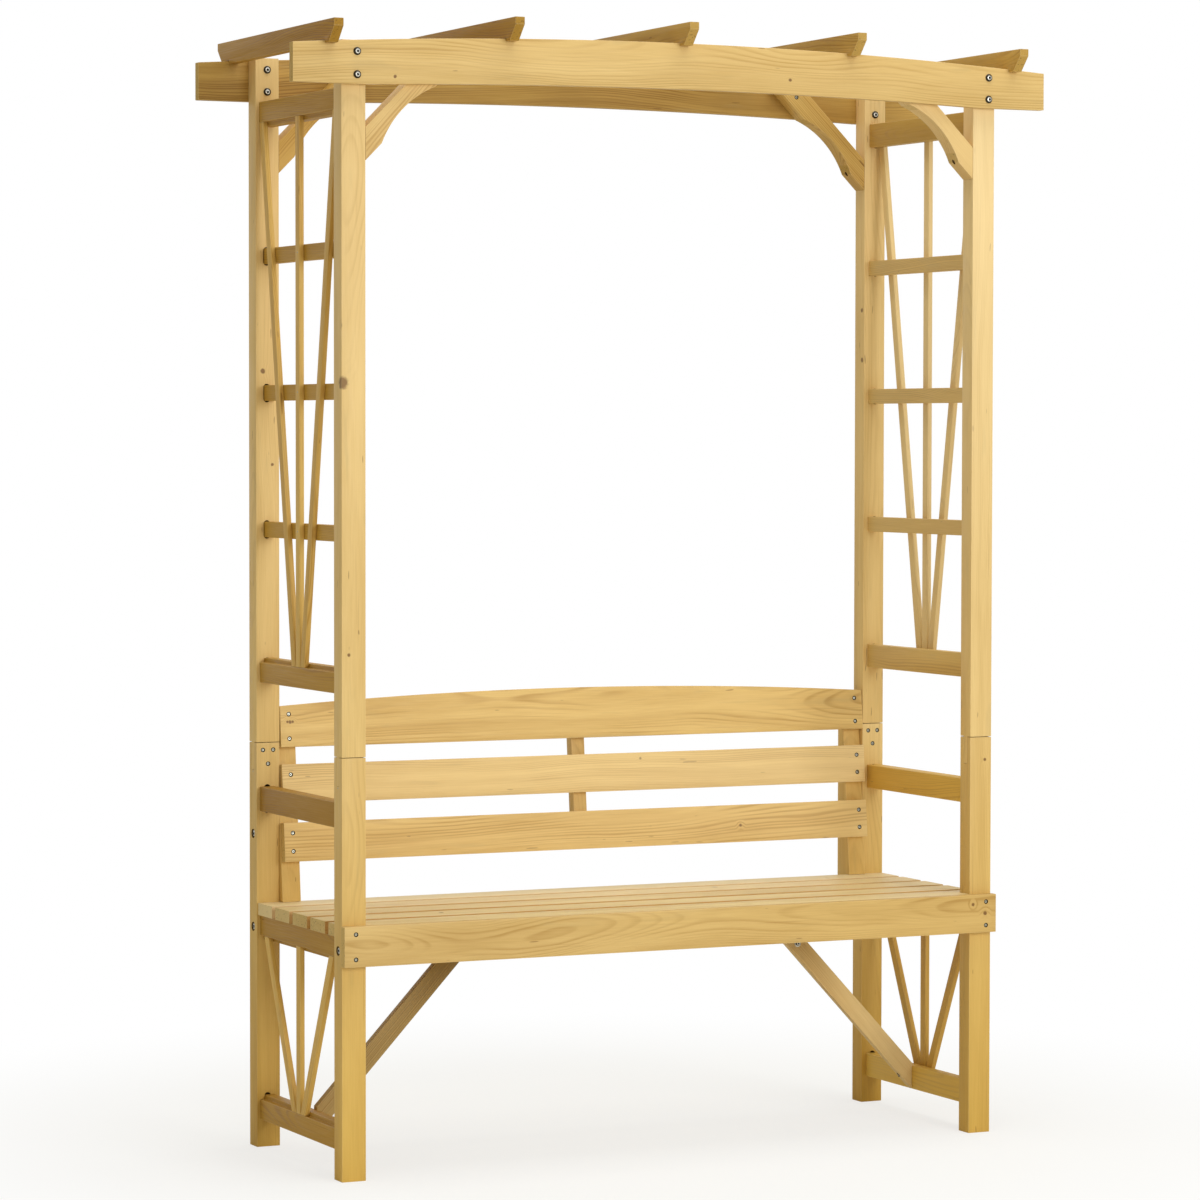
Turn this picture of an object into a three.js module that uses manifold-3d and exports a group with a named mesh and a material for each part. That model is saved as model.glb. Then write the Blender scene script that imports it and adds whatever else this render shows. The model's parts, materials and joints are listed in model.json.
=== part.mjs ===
// Wooden arbour seat: two trellised side frames, a slatted bench with a leaning backrest and a
// pergola roof of two arched beams and five rafters, all bolted and screwed together.
// Millimetres. X runs along the bench, Y from front to back and Z up, with the origin on the
// ground at the centre of the plan. The front of the seat faces -Y.

import * as THREE from 'three';
import { mergeVertices } from 'three/addons/utils/BufferGeometryUtils.js';
import Module from 'manifold-3d';

const wasm = await Module();
wasm.setup();

// Driving dimensions

// Gap between pieces that meet, and how far a cutter runs past the face it cuts
const gap = 0.3;
const overrun = 3;

// Posts
const frameWidth = 1307;
const frameDepth = 451;
const postWidth = 45;
const postDepth = 36.5;
const postHeight = 1988;
const spliceRise = 80;
const spliceTongueLength = 50;
const spliceTongueShare = 1 / 3;

// Rails of the side frames. The arm rail rises from the seat, the trellis from the arm rail, and
// the top rail hangs below the beams.
const railDepth = 45;
const railThickness = 28.5;
const railInset = 6.5;
const tenonThickness = 12;
const tenonLength = 25;
const tenonShoulder = 2;
const mortiseSlack = 4;
const stretcherHeight = 51;
const armRise = 213;
const trellisRise = 190.5;
const topRailDrop = 3;

// Rungs and fan laths
const rungCount = 3;
const rungDepth = 28.5;
const rungTenonDepth = 16;
const rungTenonThickness = 8;
const rungTenonLength = 12;
const lathWidth = 19;
const lathThickness = 9;
const rebateDepth = 8;
const fanFootSpread = 21;
const trellisFanMargin = 11;
const lowerFanMargin = 31;
const nailRadius = 1.5;

// Beams, rafters and knee brackets
const beamOverhang = 96.5;
const beamThickness = 17;
const beamEndDepth = 68;
const beamDrop = 77;
const beamTopRise = 26.5;
const beamArchRise = 12.5;
const rafterCount = 5;
const rafterInset = 68;
const rafterOverhang = 42.2;
const rafterDepth = 40;
const rafterThickness = 18;
const rafterNotch = 5.5;
const rafterNose = 13;
const rafterCutBack = 25;
const bracketDrop = 131;
const bracketReach = 64;
const bracketContact = 58;
const bracketFlat = 31;
const bracketScoopRun = 102;
const bracketScoopDepth = 15;
const scoopSteps = 10;

// Seat
const seatHeight = 449;
const slatEndInset = 2.5;
const slatCount = 5;
const slatOpening = 16.05;
const slatThickness = 22;
const apronOverhang = 2;
const apronDepth = 71;
const apronThickness = 17;
const bearerDepth = 45;
const bearerThickness = 28.5;
const bearerRearMargin = 2.5;
const braceBearerInset = 245.5;

// Braces under the seat
const braceWidth = 34;
const braceThickness = 17;
const braceFootRise = 25.8;
const braceBoltInset = 5;
const braceBoltDrop = 38.2;
const rightBraceFace = 5.5;
const leftBraceFace = -20;
const cleatDepth = 22;
const cleatMargin = 7;

// Backrest. The front plane of its slats leans back and passes through one named line.
const recline = THREE.MathUtils.degToRad(5.4);
const backPlaneInset = 47.5;
const backPlaneRise = 217;
const backSlatClearance = 1.5;
const backSlatThickness = 17;
const backSlatWidth = 71.5;
const topBackSlatWidth = 75.5;
const topBackSlatCrest = 20;
const lowBackSlatRise = 75;
const midBackSlatRise = 181.5;
const topBackSlatRise = 284;
const uprightReach = 67;
const uprightWidth = 36;
const uprightRearMargin = 2.5;
const battenWidth = 27;
const battenThickness = 21.5;
const battenFootMargin = 12;

// Fasteners: radii of head and shank, depth of head, length, and how far the head is sunk.
// A mouth is the length of the head's clearance hole in front of the head, and a screw without
// one is driven in until the wood closes over it.
const timberScrew = { head: 3.75, shank: 2.1, headDepth: 3, length: 40, sink: 0.4, mouth: 3 };
const slatScrew = { head: 3.75, shank: 2.1, headDepth: 3, length: 29, sink: 0.4, mouth: 3 };
const battenScrew = { head: 3.75, shank: 2.1, headDepth: 3, length: 33, sink: 0.4, mouth: 3 };
const spliceScrew = { head: 3.75, shank: 2.1, headDepth: 3, length: 26, sink: 0.4, mouth: 3 };
const bracketScrew = { head: 3.75, shank: 2.1, headDepth: 3, length: 40, sink: 1, mouth: 0 };
const rafterScrew = { head: 3.75, shank: 2.1, headDepth: 3, length: 49, sink: 1, mouth: 0 };
const seatScrew = { head: 3.75, shank: 2.1, headDepth: 3, length: 58, sink: 1, mouth: 0 };
const toeScrew = { head: 3.75, shank: 2.1, headDepth: 3, length: 50, sink: 0, mouth: 20 };
const footScrew = { head: 3.75, shank: 2.1, headDepth: 3, length: 46, sink: 0, mouth: 40 };
const beamBolt = { head: 7, dome: 3.5, shank: 3, sleeve: 4.4, sleeveLength: 16 };
const domeShare = 0.6;
const frameBolt = { head: 6.5, recess: 8.5, sink: 7, headDepth: 5, shank: 4, length: 60 };
const braceBolt = { washer: 6.25, washerDepth: 1.5, head: 4, headDepth: 3.5, shank: 2.5, length: 32 };
const beamBoltRise = 16;
const beamBoltDrop = 12;
const uprightBoltRise = 126;
const apronScrewInset = 13.5;
const apronScrewShift = 3;
const backScrewInset = 19;
const topBackScrewInset = 15.3;
const spliceScrewSpread = 10;
const spliceScrewDrops = [13.2, 38.7];
const bracketToeRise = 32;
const bracketToeStart = 26;
const bracketFaceInset = 44.5;
const bracketFaceDrop = 20;
const braceFootScrewRise = 1.2;
const braceFootScrewReach = 24.5;
const leftBraceBoltRise = 16.5;
const screwSides = 6;
const boltSides = 8;
const archSteps = 12;
const crestSteps = 18;

// Places that follow from the sizes above

const postOuterX = frameWidth / 2;
const postInnerX = postOuterX - postWidth;
const postMiddleX = postOuterX - postWidth / 2;
const postOuterY = frameDepth / 2;
const postInnerY = postOuterY - postDepth;
const postMiddleY = postOuterY - postDepth / 2;
const railOuterX = postOuterX - railInset;
const railInnerX = railOuterX - railThickness;
const railMiddleX = railOuterX - railThickness / 2;
const slatUnderside = seatHeight - slatThickness;
const bearerUnderside = slatUnderside - gap - bearerDepth;
const beamInnerY = postOuterY + gap;
const beamOuterY = beamInnerY + beamThickness;
const beamMiddleY = beamInnerY + beamThickness / 2;
const armHeight = seatHeight + armRise;
const spliceHeight = armHeight + spliceRise;
const trellisFoot = armHeight + trellisRise;
const beamUnderside = postHeight - beamDrop;
const topRailFoot = beamUnderside - topRailDrop - railDepth;
const beamLength = frameWidth + 2 * beamOverhang;
const beamTopBase = beamUnderside + beamEndDepth;
const seatLength = frameWidth - 2 * slatEndInset;
const trellisFanSpread = postInnerY - trellisFanMargin;
const lowerFanSpread = postInnerY - lowerFanMargin;

// Shapes

// Makes a closed three.js geometry into a solid that can be joined and cut.
function toSolid(geometry) {
  geometry.deleteAttribute('normal');
  geometry.deleteAttribute('uv');
  const merged = mergeVertices(geometry);
  const vertProperties = new Float32Array(merged.attributes.position.array);
  const triVerts = new Uint32Array(merged.index.array);
  return new wasm.Manifold(new wasm.Mesh({ numProp: 3, vertProperties, triVerts }));
}

// A block between two places on each axis, given in either order.
function block(x0, x1, y0, y1, z0, z1) {
  const size = [Math.abs(x1 - x0), Math.abs(y1 - y0), Math.abs(z1 - z0)];
  const geometry = new THREE.BoxGeometry(...size);
  geometry.translate((x0 + x1) / 2, (y0 + y1) / 2, (z0 + z1) / 2);
  return toSolid(geometry);
}

// An outline of [x, z] points, or a Shape, run along Y from y0 to y1.
function alongY(outline, y0, y1) {
  const drawn = outline instanceof THREE.Shape;
  const shape = drawn ? outline : new THREE.Shape(outline.map(([x, z]) => new THREE.Vector2(x, z)));
  const depth = Math.abs(y1 - y0);
  const geometry = new THREE.ExtrudeGeometry(shape, { depth, bevelEnabled: false, curveSegments: 3 });
  geometry.rotateX(Math.PI / 2);
  geometry.translate(0, Math.max(y0, y1), 0);
  return toSolid(geometry);
}

// An outline of [y, z] points run along X from x0 to x1.
function alongX(points, x0, x1) {
  const shape = new THREE.Shape(points.map(([y, z]) => new THREE.Vector2(y, z)));
  const geometry = new THREE.ExtrudeGeometry(shape, { depth: Math.abs(x1 - x0), bevelEnabled: false });
  geometry.rotateX(Math.PI / 2);
  geometry.rotateZ(Math.PI / 2);
  geometry.translate(Math.min(x0, x1), 0, 0);
  return toSolid(geometry);
}

// A turned solid: [radius, distance] points from one end to the other, pointed along a direction.
function turned(profile, place, direction, roundSides) {
  const points = profile.map(([radius, distance]) => new THREE.Vector2(radius, distance));
  const geometry = new THREE.LatheGeometry(points, roundSides);
  const up = new THREE.Vector3(0, 1, 0);
  geometry.applyQuaternion(new THREE.Quaternion().setFromUnitVectors(up, new THREE.Vector3(...direction)));
  geometry.translate(...place);
  return toSolid(geometry);
}

// Points of a flat circular arc over [-halfChord, halfChord] that rises by rise in the middle.
function arcPoints(halfChord, base, rise, steps) {
  const radius = (halfChord ** 2 + rise ** 2) / (2 * rise);
  const half = Math.asin(halfChord / radius);
  return Array.from({ length: steps + 1 }, (_, i) => {
    const angle = half * (2 * i / steps - 1);
    return [radius * Math.sin(angle), base + rise - radius + radius * Math.cos(angle)];
  });
}

// Pieces by name, each with the group that it belongs to
const pieces = new Map();

function addPiece(group, name, solid) {
  pieces.set(name, { group, solid });
}

// The two sides are mirror images: side is -1 on the left and 1 on the right, end is -1 at the
// front and 1 at the rear.
const sides = [['left', -1], ['right', 1]];
const ends = [['front', -1], ['rear', 1]];

// Side frames

// Every rail of a side frame: the height of its underside and the edge that is rebated.
const rails = [
  ['bottom_stretcher', stretcherHeight, 'upper'],
  ['seat_rail', bearerUnderside, 'lower'],
  ['arm_rail', armHeight - railDepth, 'none'],
  ['trellis_bottom_rail', trellisFoot, 'upper'],
  ['top_rail', topRailFoot, 'lower'],
];
const rungOpening = (topRailFoot - trellisFoot - railDepth - rungCount * rungDepth) / (rungCount + 1);
const rungThickness = railThickness - lathThickness - gap;
const rungMiddleX = railInnerX + rungThickness / 2;
const rungFeet = Array.from({ length: rungCount }, (_, i) => (
  trellisFoot + railDepth + rungOpening + i * (rungDepth + rungOpening)
));

// A round-ended mortise for a rail, taller than the rail so that a slit shows above and below it.
function railMortise(side, end, foot) {
  const radius = tenonThickness / 2 + gap;
  const low = foot - mortiseSlack + radius;
  const high = foot + railDepth + mortiseSlack - radius;
  const shape = new THREE.Shape();
  shape.absarc(side * railMiddleX, high, radius, 0, Math.PI, false);
  shape.absarc(side * railMiddleX, low, radius, Math.PI, 2 * Math.PI, false);
  return alongY(shape, end * (postInnerY - overrun), end * (postInnerY + tenonLength + gap));
}

// A close square mortise for the stub tenon of a rung.
function rungMortise(side, end, foot) {
  const halfThickness = rungTenonThickness / 2 + gap;
  const halfDepth = rungTenonDepth / 2 + gap;
  const middleZ = foot + rungDepth / 2;
  return block(
    side * (rungMiddleX - halfThickness), side * (rungMiddleX + halfThickness),
    end * (postInnerY - overrun), end * (postInnerY + rungTenonLength + gap),
    middleZ - halfDepth, middleZ + halfDepth,
  );
}

// A post in two lengths: the upper one ends in a tongue through the middle of the post's depth,
// and the lower one in the fork that takes it.
function addPost(sideName, side, endName, end) {
  const x0 = side * postInnerX;
  const x1 = side * postOuterX;
  const y0 = end * postInnerY;
  const y1 = end * postOuterY;
  const middleY = end * postMiddleY;
  const halfTongue = postDepth * spliceTongueShare / 2;
  const tongueFoot = spliceHeight - spliceTongueLength;

  let lower = block(x0, x1, y0, y1, 0, spliceHeight);
  lower = lower.subtract(block(
    x0 - side * overrun, x1 + side * overrun,
    middleY - halfTongue - gap / 2, middleY + halfTongue + gap / 2,
    tongueFoot - gap, spliceHeight + overrun,
  ));
  let upper = block(x0, x1, y0, y1, spliceHeight + gap, postHeight);
  upper = upper.add(block(
    x0, x1, middleY - halfTongue + gap / 2, middleY + halfTongue - gap / 2,
    tongueFoot, spliceHeight + overrun,
  ));
  for (const [, foot] of rails) {
    lower = lower.subtract(railMortise(side, end, foot));
    upper = upper.subtract(railMortise(side, end, foot));
  }
  for (const foot of rungFeet) {
    upper = upper.subtract(rungMortise(side, end, foot));
  }
  addPiece('side_frames', `${endName}_${sideName}_post_lower`, lower);
  addPiece('side_frames', `${endName}_${sideName}_post_upper`, upper);
}

// A rail between the two posts of a side frame, with a tenon at each end and, where a fan meets
// it, a rebate run along its outer face from end to end.
function railSolid(side, foot, rebate) {
  const shoulderY = postInnerY - gap;
  let rail = block(side * railInnerX, side * railOuterX, -shoulderY, shoulderY, foot, foot + railDepth);
  for (const [, end] of ends) {
    rail = rail.add(block(
      side * (railMiddleX - tenonThickness / 2), side * (railMiddleX + tenonThickness / 2),
      end * (shoulderY - overrun), end * (postInnerY + tenonLength),
      foot + tenonShoulder, foot + railDepth - tenonShoulder,
    ));
  }
  if (rebate === 'none') return rail;
  const edge = rebate === 'upper' ? foot + railDepth : foot;
  const outward = rebate === 'upper' ? 1 : -1;
  return rail.subtract(block(
    side * (railOuterX - lathThickness - gap), side * (railOuterX + overrun), -postOuterY, postOuterY,
    edge - outward * rebateDepth, edge + outward * overrun,
  ));
}

// A rung between the two posts of a side frame, with a stub tenon at each end.
function rungSolid(side, foot) {
  const shoulderY = postInnerY - gap;
  const tenonFoot = foot + (rungDepth - rungTenonDepth) / 2;
  return block(
    side * railInnerX, side * (railInnerX + rungThickness), -shoulderY, shoulderY, foot, foot + rungDepth,
  ).add(block(
    side * (rungMiddleX - rungTenonThickness / 2), side * (rungMiddleX + rungTenonThickness / 2),
    -postInnerY - rungTenonLength, postInnerY + rungTenonLength, tenonFoot, tenonFoot + rungTenonDepth,
  ));
}

// One fan lath in the Y-Z plane, its ends cut level in the rebates of two rails.
function lathSolid(side, footY, topY, footZ, topZ) {
  const halfWidth = lathWidth / 2 * Math.hypot(1, (topY - footY) / (topZ - footZ));
  const outline = [
    [footY - halfWidth, footZ], [footY + halfWidth, footZ],
    [topY + halfWidth, topZ], [topY - halfWidth, topZ],
  ];
  return alongX(outline, side * (railOuterX - lathThickness), side * railOuterX);
}

for (const [sideName, side] of sides) {
  for (const [endName, end] of ends) addPost(sideName, side, endName, end);
  for (const [railName, foot, rebate] of rails) {
    addPiece('side_frames', `${sideName}_${railName}`, railSolid(side, foot, rebate));
  }

  // The middle lath of the trellis crosses its rungs upright and is nailed to each of them.
  const trellisFootZ = trellisFoot + railDepth - rebateDepth + gap;
  const trellisTopZ = topRailFoot + rebateDepth - gap;
  let ladder = lathSolid(side, 0, 0, trellisFootZ, trellisTopZ);
  for (const foot of rungFeet) {
    const nailPlace = [side * railOuterX, 0, foot + rungDepth / 2];
    const nailEnd = lathThickness + gap + rungThickness / 2;
    const nail = [[0, 0], [nailRadius, 0], [nailRadius, nailEnd], [0, nailEnd]];
    ladder = ladder.add(rungSolid(side, foot)).add(turned(nail, nailPlace, [-side, 0, 0], screwSides));
  }
  addPiece('side_frames', `${sideName}_trellis_ladder`, ladder);

  const fan = [['front', -1], ['middle', 0], ['rear', 1]];
  const lowerFootZ = stretcherHeight + railDepth - rebateDepth + gap;
  const lowerTopZ = bearerUnderside + rebateDepth - gap;
  for (const [lathName, lean] of fan) {
    const footY = lean * fanFootSpread;
    if (lean !== 0) {
      const lath = lathSolid(side, footY, lean * trellisFanSpread, trellisFootZ, trellisTopZ);
      addPiece('side_frames', `${sideName}_trellis_${lathName}_lath`, lath);
    }
    const lowerLath = lathSolid(side, footY, lean * lowerFanSpread, lowerFootZ, lowerTopZ);
    addPiece('side_frames', `${sideName}_lower_${lathName}_lath`, lowerLath);
  }
}

// Roof

const beamTopRadius = ((beamLength / 2) ** 2 + beamTopRise ** 2) / (2 * beamTopRise);

// Height of a beam's arched top edge at a place along the bench
function beamTopAt(x) {
  return beamTopBase + beamTopRise - beamTopRadius + Math.sqrt(beamTopRadius ** 2 - x ** 2);
}

const beamOutline = [
  [-beamLength / 2, beamUnderside],
  ...arcPoints(postInnerX, beamUnderside, beamArchRise, archSteps),
  [beamLength / 2, beamUnderside],
  ...arcPoints(beamLength / 2, beamTopBase, beamTopRise, crestSteps).reverse(),
];
for (const [endName, end] of ends) {
  addPiece('roof', `${endName}_beam`, alongY(beamOutline, end * beamInnerY, end * beamOuterY));
}

// Rafters are notched down over both beams and cut back at 45 degrees under each nose.
const rafterSpacing = (beamLength - 2 * rafterInset) / (rafterCount - 1);
const rafterPlaces = Array.from({ length: rafterCount }, (_, i) => (
  (i - (rafterCount - 1) / 2) * rafterSpacing
));
const rafterTopAt = (x) => {
  const highEdge = Math.max(Math.abs(x) - rafterThickness / 2, 0);
  return beamTopAt(highEdge) + gap + rafterDepth - rafterNotch;
};
rafterPlaces.forEach((x, i) => {
  const top = rafterTopAt(x);
  const foot = top - rafterDepth;
  const half = beamOuterY + rafterOverhang;
  const rearHalf = [
    [half, top], [half, top - rafterNose], [half - rafterCutBack, foot],
    [beamOuterY + gap, foot], [beamOuterY + gap, foot + rafterNotch],
    [beamInnerY - gap, foot + rafterNotch], [beamInnerY - gap, foot],
  ];
  const frontHalf = rearHalf.map(([y, z]) => [-y, z]).reverse();
  const solid = alongX([...rearHalf, ...frontHalf], x - rafterThickness / 2, x + rafterThickness / 2);
  addPiece('roof', `rafter_${i + 1}`, solid);
});

// Knee brackets: a straight upper edge at 45 degrees and a scooped lower one, as thick as the
// post, with the tip against the post's inner face and the head behind the beam.
const bracketTip = beamUnderside - bracketDrop;
const bracketTop = beamUnderside + bracketReach;
const scoopRadius = (bracketScoopRun ** 2 / 2 + bracketScoopDepth ** 2) / (2 * bracketScoopDepth);
const scoopHalf = Math.asin(bracketScoopRun / Math.SQRT2 / scoopRadius);
const scoopMiddle = bracketFlat + bracketScoopRun / 2;
const scoopPoints = Array.from({ length: scoopSteps + 1 }, (_, i) => {
  const angle = scoopHalf * (2 * i / scoopSteps - 1);
  const along = scoopRadius * Math.sin(angle) / Math.SQRT2;
  const inward = (bracketScoopDepth - scoopRadius + scoopRadius * Math.cos(angle)) / Math.SQRT2;
  return [scoopMiddle + along - inward, bracketTip + scoopMiddle + along + inward];
});
const bracketRise = bracketTop - bracketTip;
const bracketOutline = [
  [gap, bracketTip + gap], ...scoopPoints, [bracketRise, bracketTop],
  [bracketRise - bracketContact, bracketTop], [gap, bracketTip + bracketContact + gap],
];
for (const [sideName, side] of sides) {
  const outline = bracketOutline.map(([inward, z]) => [side * (postInnerX - inward), z]);
  for (const [endName, end] of ends) {
    const bracket = alongY(outline, end * postInnerY, end * postOuterY);
    addPiece('roof', `${endName}_${sideName}_knee_bracket`, bracket);
  }
}

// Seat

const seatRear = postInnerY - gap;
const seatFront = -postOuterY;
const slatWidth = (seatRear - seatFront - (slatCount - 1) * slatOpening) / slatCount;
const slatPitch = slatWidth + slatOpening;
const slatMiddles = Array.from({ length: slatCount }, (_, i) => seatFront + slatWidth / 2 + i * slatPitch);

slatMiddles.forEach((middleY, i) => {
  let slat = block(
    -seatLength / 2, seatLength / 2, middleY - slatWidth / 2, middleY + slatWidth / 2,
    slatUnderside, seatHeight,
  );
  if (i === 0) {
    for (const [, side] of sides) {
      slat = slat.subtract(block(
        side * (postInnerX - gap), side * (seatLength / 2 + overrun),
        seatFront - overrun, -postInnerY + gap, slatUnderside - overrun, seatHeight + overrun,
      ));
    }
  }
  addPiece('seat', `seat_slat_${i + 1}`, slat);
});

const apronRear = -postOuterY - gap;
const apronFront = apronRear - apronThickness;
const apronHalf = postOuterX + apronOverhang;
addPiece('seat', 'front_apron', block(
  -apronHalf, apronHalf, apronFront, apronRear, seatHeight - apronDepth, seatHeight,
));

// Bearers run from front to back under the slats: one at each end, which reaches both posts, and
// one above each brace.
const endBearerMiddle = postInnerX - gap - bearerThickness / 2;
const braceBearerOffset = railInnerX - braceBearerInset;
const bearers = sides.flatMap(([sideName, side]) => [
  [`${sideName}_end_bearer`, side * endBearerMiddle, postOuterY - bearerRearMargin],
  [`${sideName}_brace_bearer`, side * braceBearerOffset, seatRear],
]);
for (const [name, x, rear] of bearers) {
  addPiece('seat', name, block(
    x - bearerThickness / 2, x + bearerThickness / 2, seatFront, rear,
    bearerUnderside, slatUnderside - gap,
  ));
}

// A brace rises from the inner face of the bottom stretcher to the underside of the seat. Its
// foot is cut upright and its head level. A cleat glued under the brace bearer hangs behind it
// and reaches just past the bolt, which sits higher up the left brace than up the right one.
const braceFootX = railInnerX - gap;
const braceFootHeight = stretcherHeight + braceFootRise;
const braceBoltOffset = braceBearerOffset - braceBoltInset;
const braceBoltHeight = bearerUnderside - braceBoltDrop;
const braceSlope = (braceBoltHeight - braceFootHeight) / (braceFootX - braceBoltOffset);
const braceHalfRise = braceWidth / 2 * Math.hypot(1, braceSlope);
const braceTop = slatUnderside - gap;
const braceHeadAt = (rise) => braceFootX - (braceTop - braceFootHeight - rise) / braceSlope;
const braceFaces = { left: leftBraceFace, right: rightBraceFace };
const braceBoltRises = { left: leftBraceBoltRise, right: 0 };
const braceBoltAt = (sideName) => {
  const rise = braceBoltRises[sideName];
  return { inward: braceBoltOffset - rise / braceSlope, height: braceBoltHeight + rise };
};
for (const [sideName, side] of sides) {
  const front = braceFaces[sideName];
  const rear = front + braceThickness;
  const outline = [
    [side * braceFootX, braceFootHeight - braceHalfRise],
    [side * braceFootX, braceFootHeight + braceHalfRise],
    [side * braceHeadAt(braceHalfRise), braceTop],
    [side * braceHeadAt(-braceHalfRise), braceTop],
  ];
  addPiece('seat', `${sideName}_brace`, alongY(outline, front, rear));
  const bolt = braceBoltAt(sideName);
  const bearer = pieces.get(`${sideName}_brace_bearer`);
  bearer.solid = bearer.solid.add(block(
    side * (bolt.inward - cleatMargin), side * (braceBearerOffset + bearerThickness / 2),
    rear + gap, rear + gap + cleatDepth, bolt.height - cleatMargin, bearerUnderside + overrun,
  ));
}

// Backrest

const backSlope = Math.tan(recline);
const backNormal = [0, Math.cos(recline), -Math.sin(recline)];
const backPlaneFront = postOuterY - backPlaneInset;
const backPlaneHeight = seatHeight + backPlaneRise;
const backFrontAt = (z) => backPlaneFront + (z - backPlaneHeight) * backSlope;
const backRearAt = (z) => backFrontAt(z) + backSlatThickness / Math.cos(recline);

// Feet of the back slats, and the top of the uprights that stops short of the top slat's edge
const lowBackSlatFoot = seatHeight + lowBackSlatRise;
const midBackSlatFoot = seatHeight + midBackSlatRise;
const topBackSlatFoot = seatHeight + topBackSlatRise;
const uprightTop = topBackSlatFoot + uprightReach;

// A back slat is drawn flat with its foot on the front plane, then leaned back.
function backSlat(foot, width, rise) {
  const half = postInnerX - backSlatClearance;
  const crest = rise > 0 ? arcPoints(half, width, rise, crestSteps) : [[-half, width], [half, width]];
  const outline = [[-half, 0], [half, 0], ...crest.reverse()];
  const shape = new THREE.Shape(outline.map(([x, z]) => new THREE.Vector2(x, z)));
  const geometry = new THREE.ExtrudeGeometry(shape, { depth: backSlatThickness, bevelEnabled: false });
  geometry.rotateX(Math.PI / 2);
  geometry.translate(0, backSlatThickness, 0);
  geometry.rotateX(-recline);
  geometry.translate(0, backFrontAt(foot), foot);
  return toSolid(geometry);
}
addPiece('backrest', 'lower_back_slat', backSlat(lowBackSlatFoot, backSlatWidth, 0));
addPiece('backrest', 'middle_back_slat', backSlat(midBackSlatFoot, backSlatWidth, 0));
addPiece('backrest', 'upper_back_slat', backSlat(topBackSlatFoot, topBackSlatWidth, topBackSlatCrest));

// An upright stands on the rear seat slat and heels down behind it. Its rear edge is plumb and
// its front edge leans with the slats, so it is a long wedge.
const uprightRear = postOuterY - uprightRearMargin;
const uprightGap = gap / Math.cos(recline);
const uprightOutline = [
  [backRearAt(seatHeight + gap) + uprightGap, seatHeight + gap],
  [seatRear + gap, seatHeight + gap],
  [seatRear + gap, slatUnderside],
  [uprightRear, slatUnderside],
  [uprightRear, uprightTop],
  [backRearAt(uprightTop) + uprightGap, uprightTop],
];
const uprightMiddle = postInnerX - gap - uprightWidth / 2;
for (const [sideName, side] of sides) {
  const near = side * (uprightMiddle - uprightWidth / 2);
  const far = side * (uprightMiddle + uprightWidth / 2);
  addPiece('backrest', `${sideName}_back_upright`, alongX(uprightOutline, near, far));
}

// A batten ties the three slats together in the middle. It leans flat against their backs and
// stops above the bottom edge of the lowest one.
const battenFoot = lowBackSlatFoot + battenFootMargin;
const battenReach = (uprightTop - battenFoot) / Math.cos(recline);
const battenShape = new THREE.BoxGeometry(battenWidth, battenThickness, battenReach);
battenShape.translate(0, backSlatThickness + gap + battenThickness / 2, battenReach / 2);
battenShape.rotateX(-recline);
battenShape.translate(0, backFrontAt(battenFoot), battenFoot);
addPiece('backrest', 'middle_back_batten', toSolid(battenShape));

// Fasteners

// Every fastener is fixed in one piece, its holder, and passes through the others in a
// clearance hole. In the holder only a head that shows has clearance.
function fasten(holder, passed, solid, headHole, fullHole) {
  const piece = pieces.get(holder);
  const open = headHole ? piece.solid.subtract(headHole) : piece.solid;
  piece.solid = open.add(solid);
  for (const name of passed) {
    const other = pieces.get(name);
    other.solid = other.solid.subtract(fullHole);
  }
}

// A countersunk wood screw entering at a surface point, with its flared hole.
function addScrew(holder, passed, size, place, direction) {
  const top = size.sink;
  const neck = top + size.headDepth;
  const end = top + size.length;
  const screw = [[0, top], [size.head, top], [size.shank, neck], [size.shank, end - size.shank], [0, end]];
  const flare = [
    [0, top - size.mouth], [size.head + gap, top - size.mouth], [size.head + gap, top + gap],
    [size.shank + gap, neck + gap],
  ];
  const headHole = size.mouth > 0 ? turned([...flare, [0, neck + gap]], place, direction, screwSides) : null;
  const shaftHole = [...flare, [size.shank + gap, end + gap], [0, end + gap]];
  const fullHole = turned(shaftHole, place, direction, screwSides);
  fasten(holder, passed, turned(screw, place, direction, screwSides), headHole, fullHole);
}

// A bolt with a domed head on the outer face of a beam and a domed sleeve nut on its far end.
function addBeamBolt(holder, passed, place, direction, grip) {
  const size = beamBolt;
  const nutFace = grip + gap;
  const nutStart = grip - size.sleeveLength;
  const bolt = turned([
    [0, -size.dome], [size.head * domeShare, -size.dome], [size.head, 0], [size.shank, 0],
    [size.shank, nutStart], [size.sleeve, nutStart], [size.sleeve, nutFace], [size.head, nutFace],
    [size.head * domeShare, nutFace + size.dome], [0, nutFace + size.dome],
  ], place, direction, boltSides);
  const hole = turned([
    [0, -overrun], [size.shank + gap, -overrun], [size.shank + gap, nutStart - gap],
    [size.sleeve + gap, nutStart - gap], [size.sleeve + gap, grip + overrun], [0, grip + overrun],
  ], place, direction, boltSides);
  const piece = pieces.get(holder);
  piece.solid = piece.solid.add(bolt);
  for (const name of passed) {
    const other = pieces.get(name);
    other.solid = other.solid.subtract(hole);
  }
}

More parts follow.
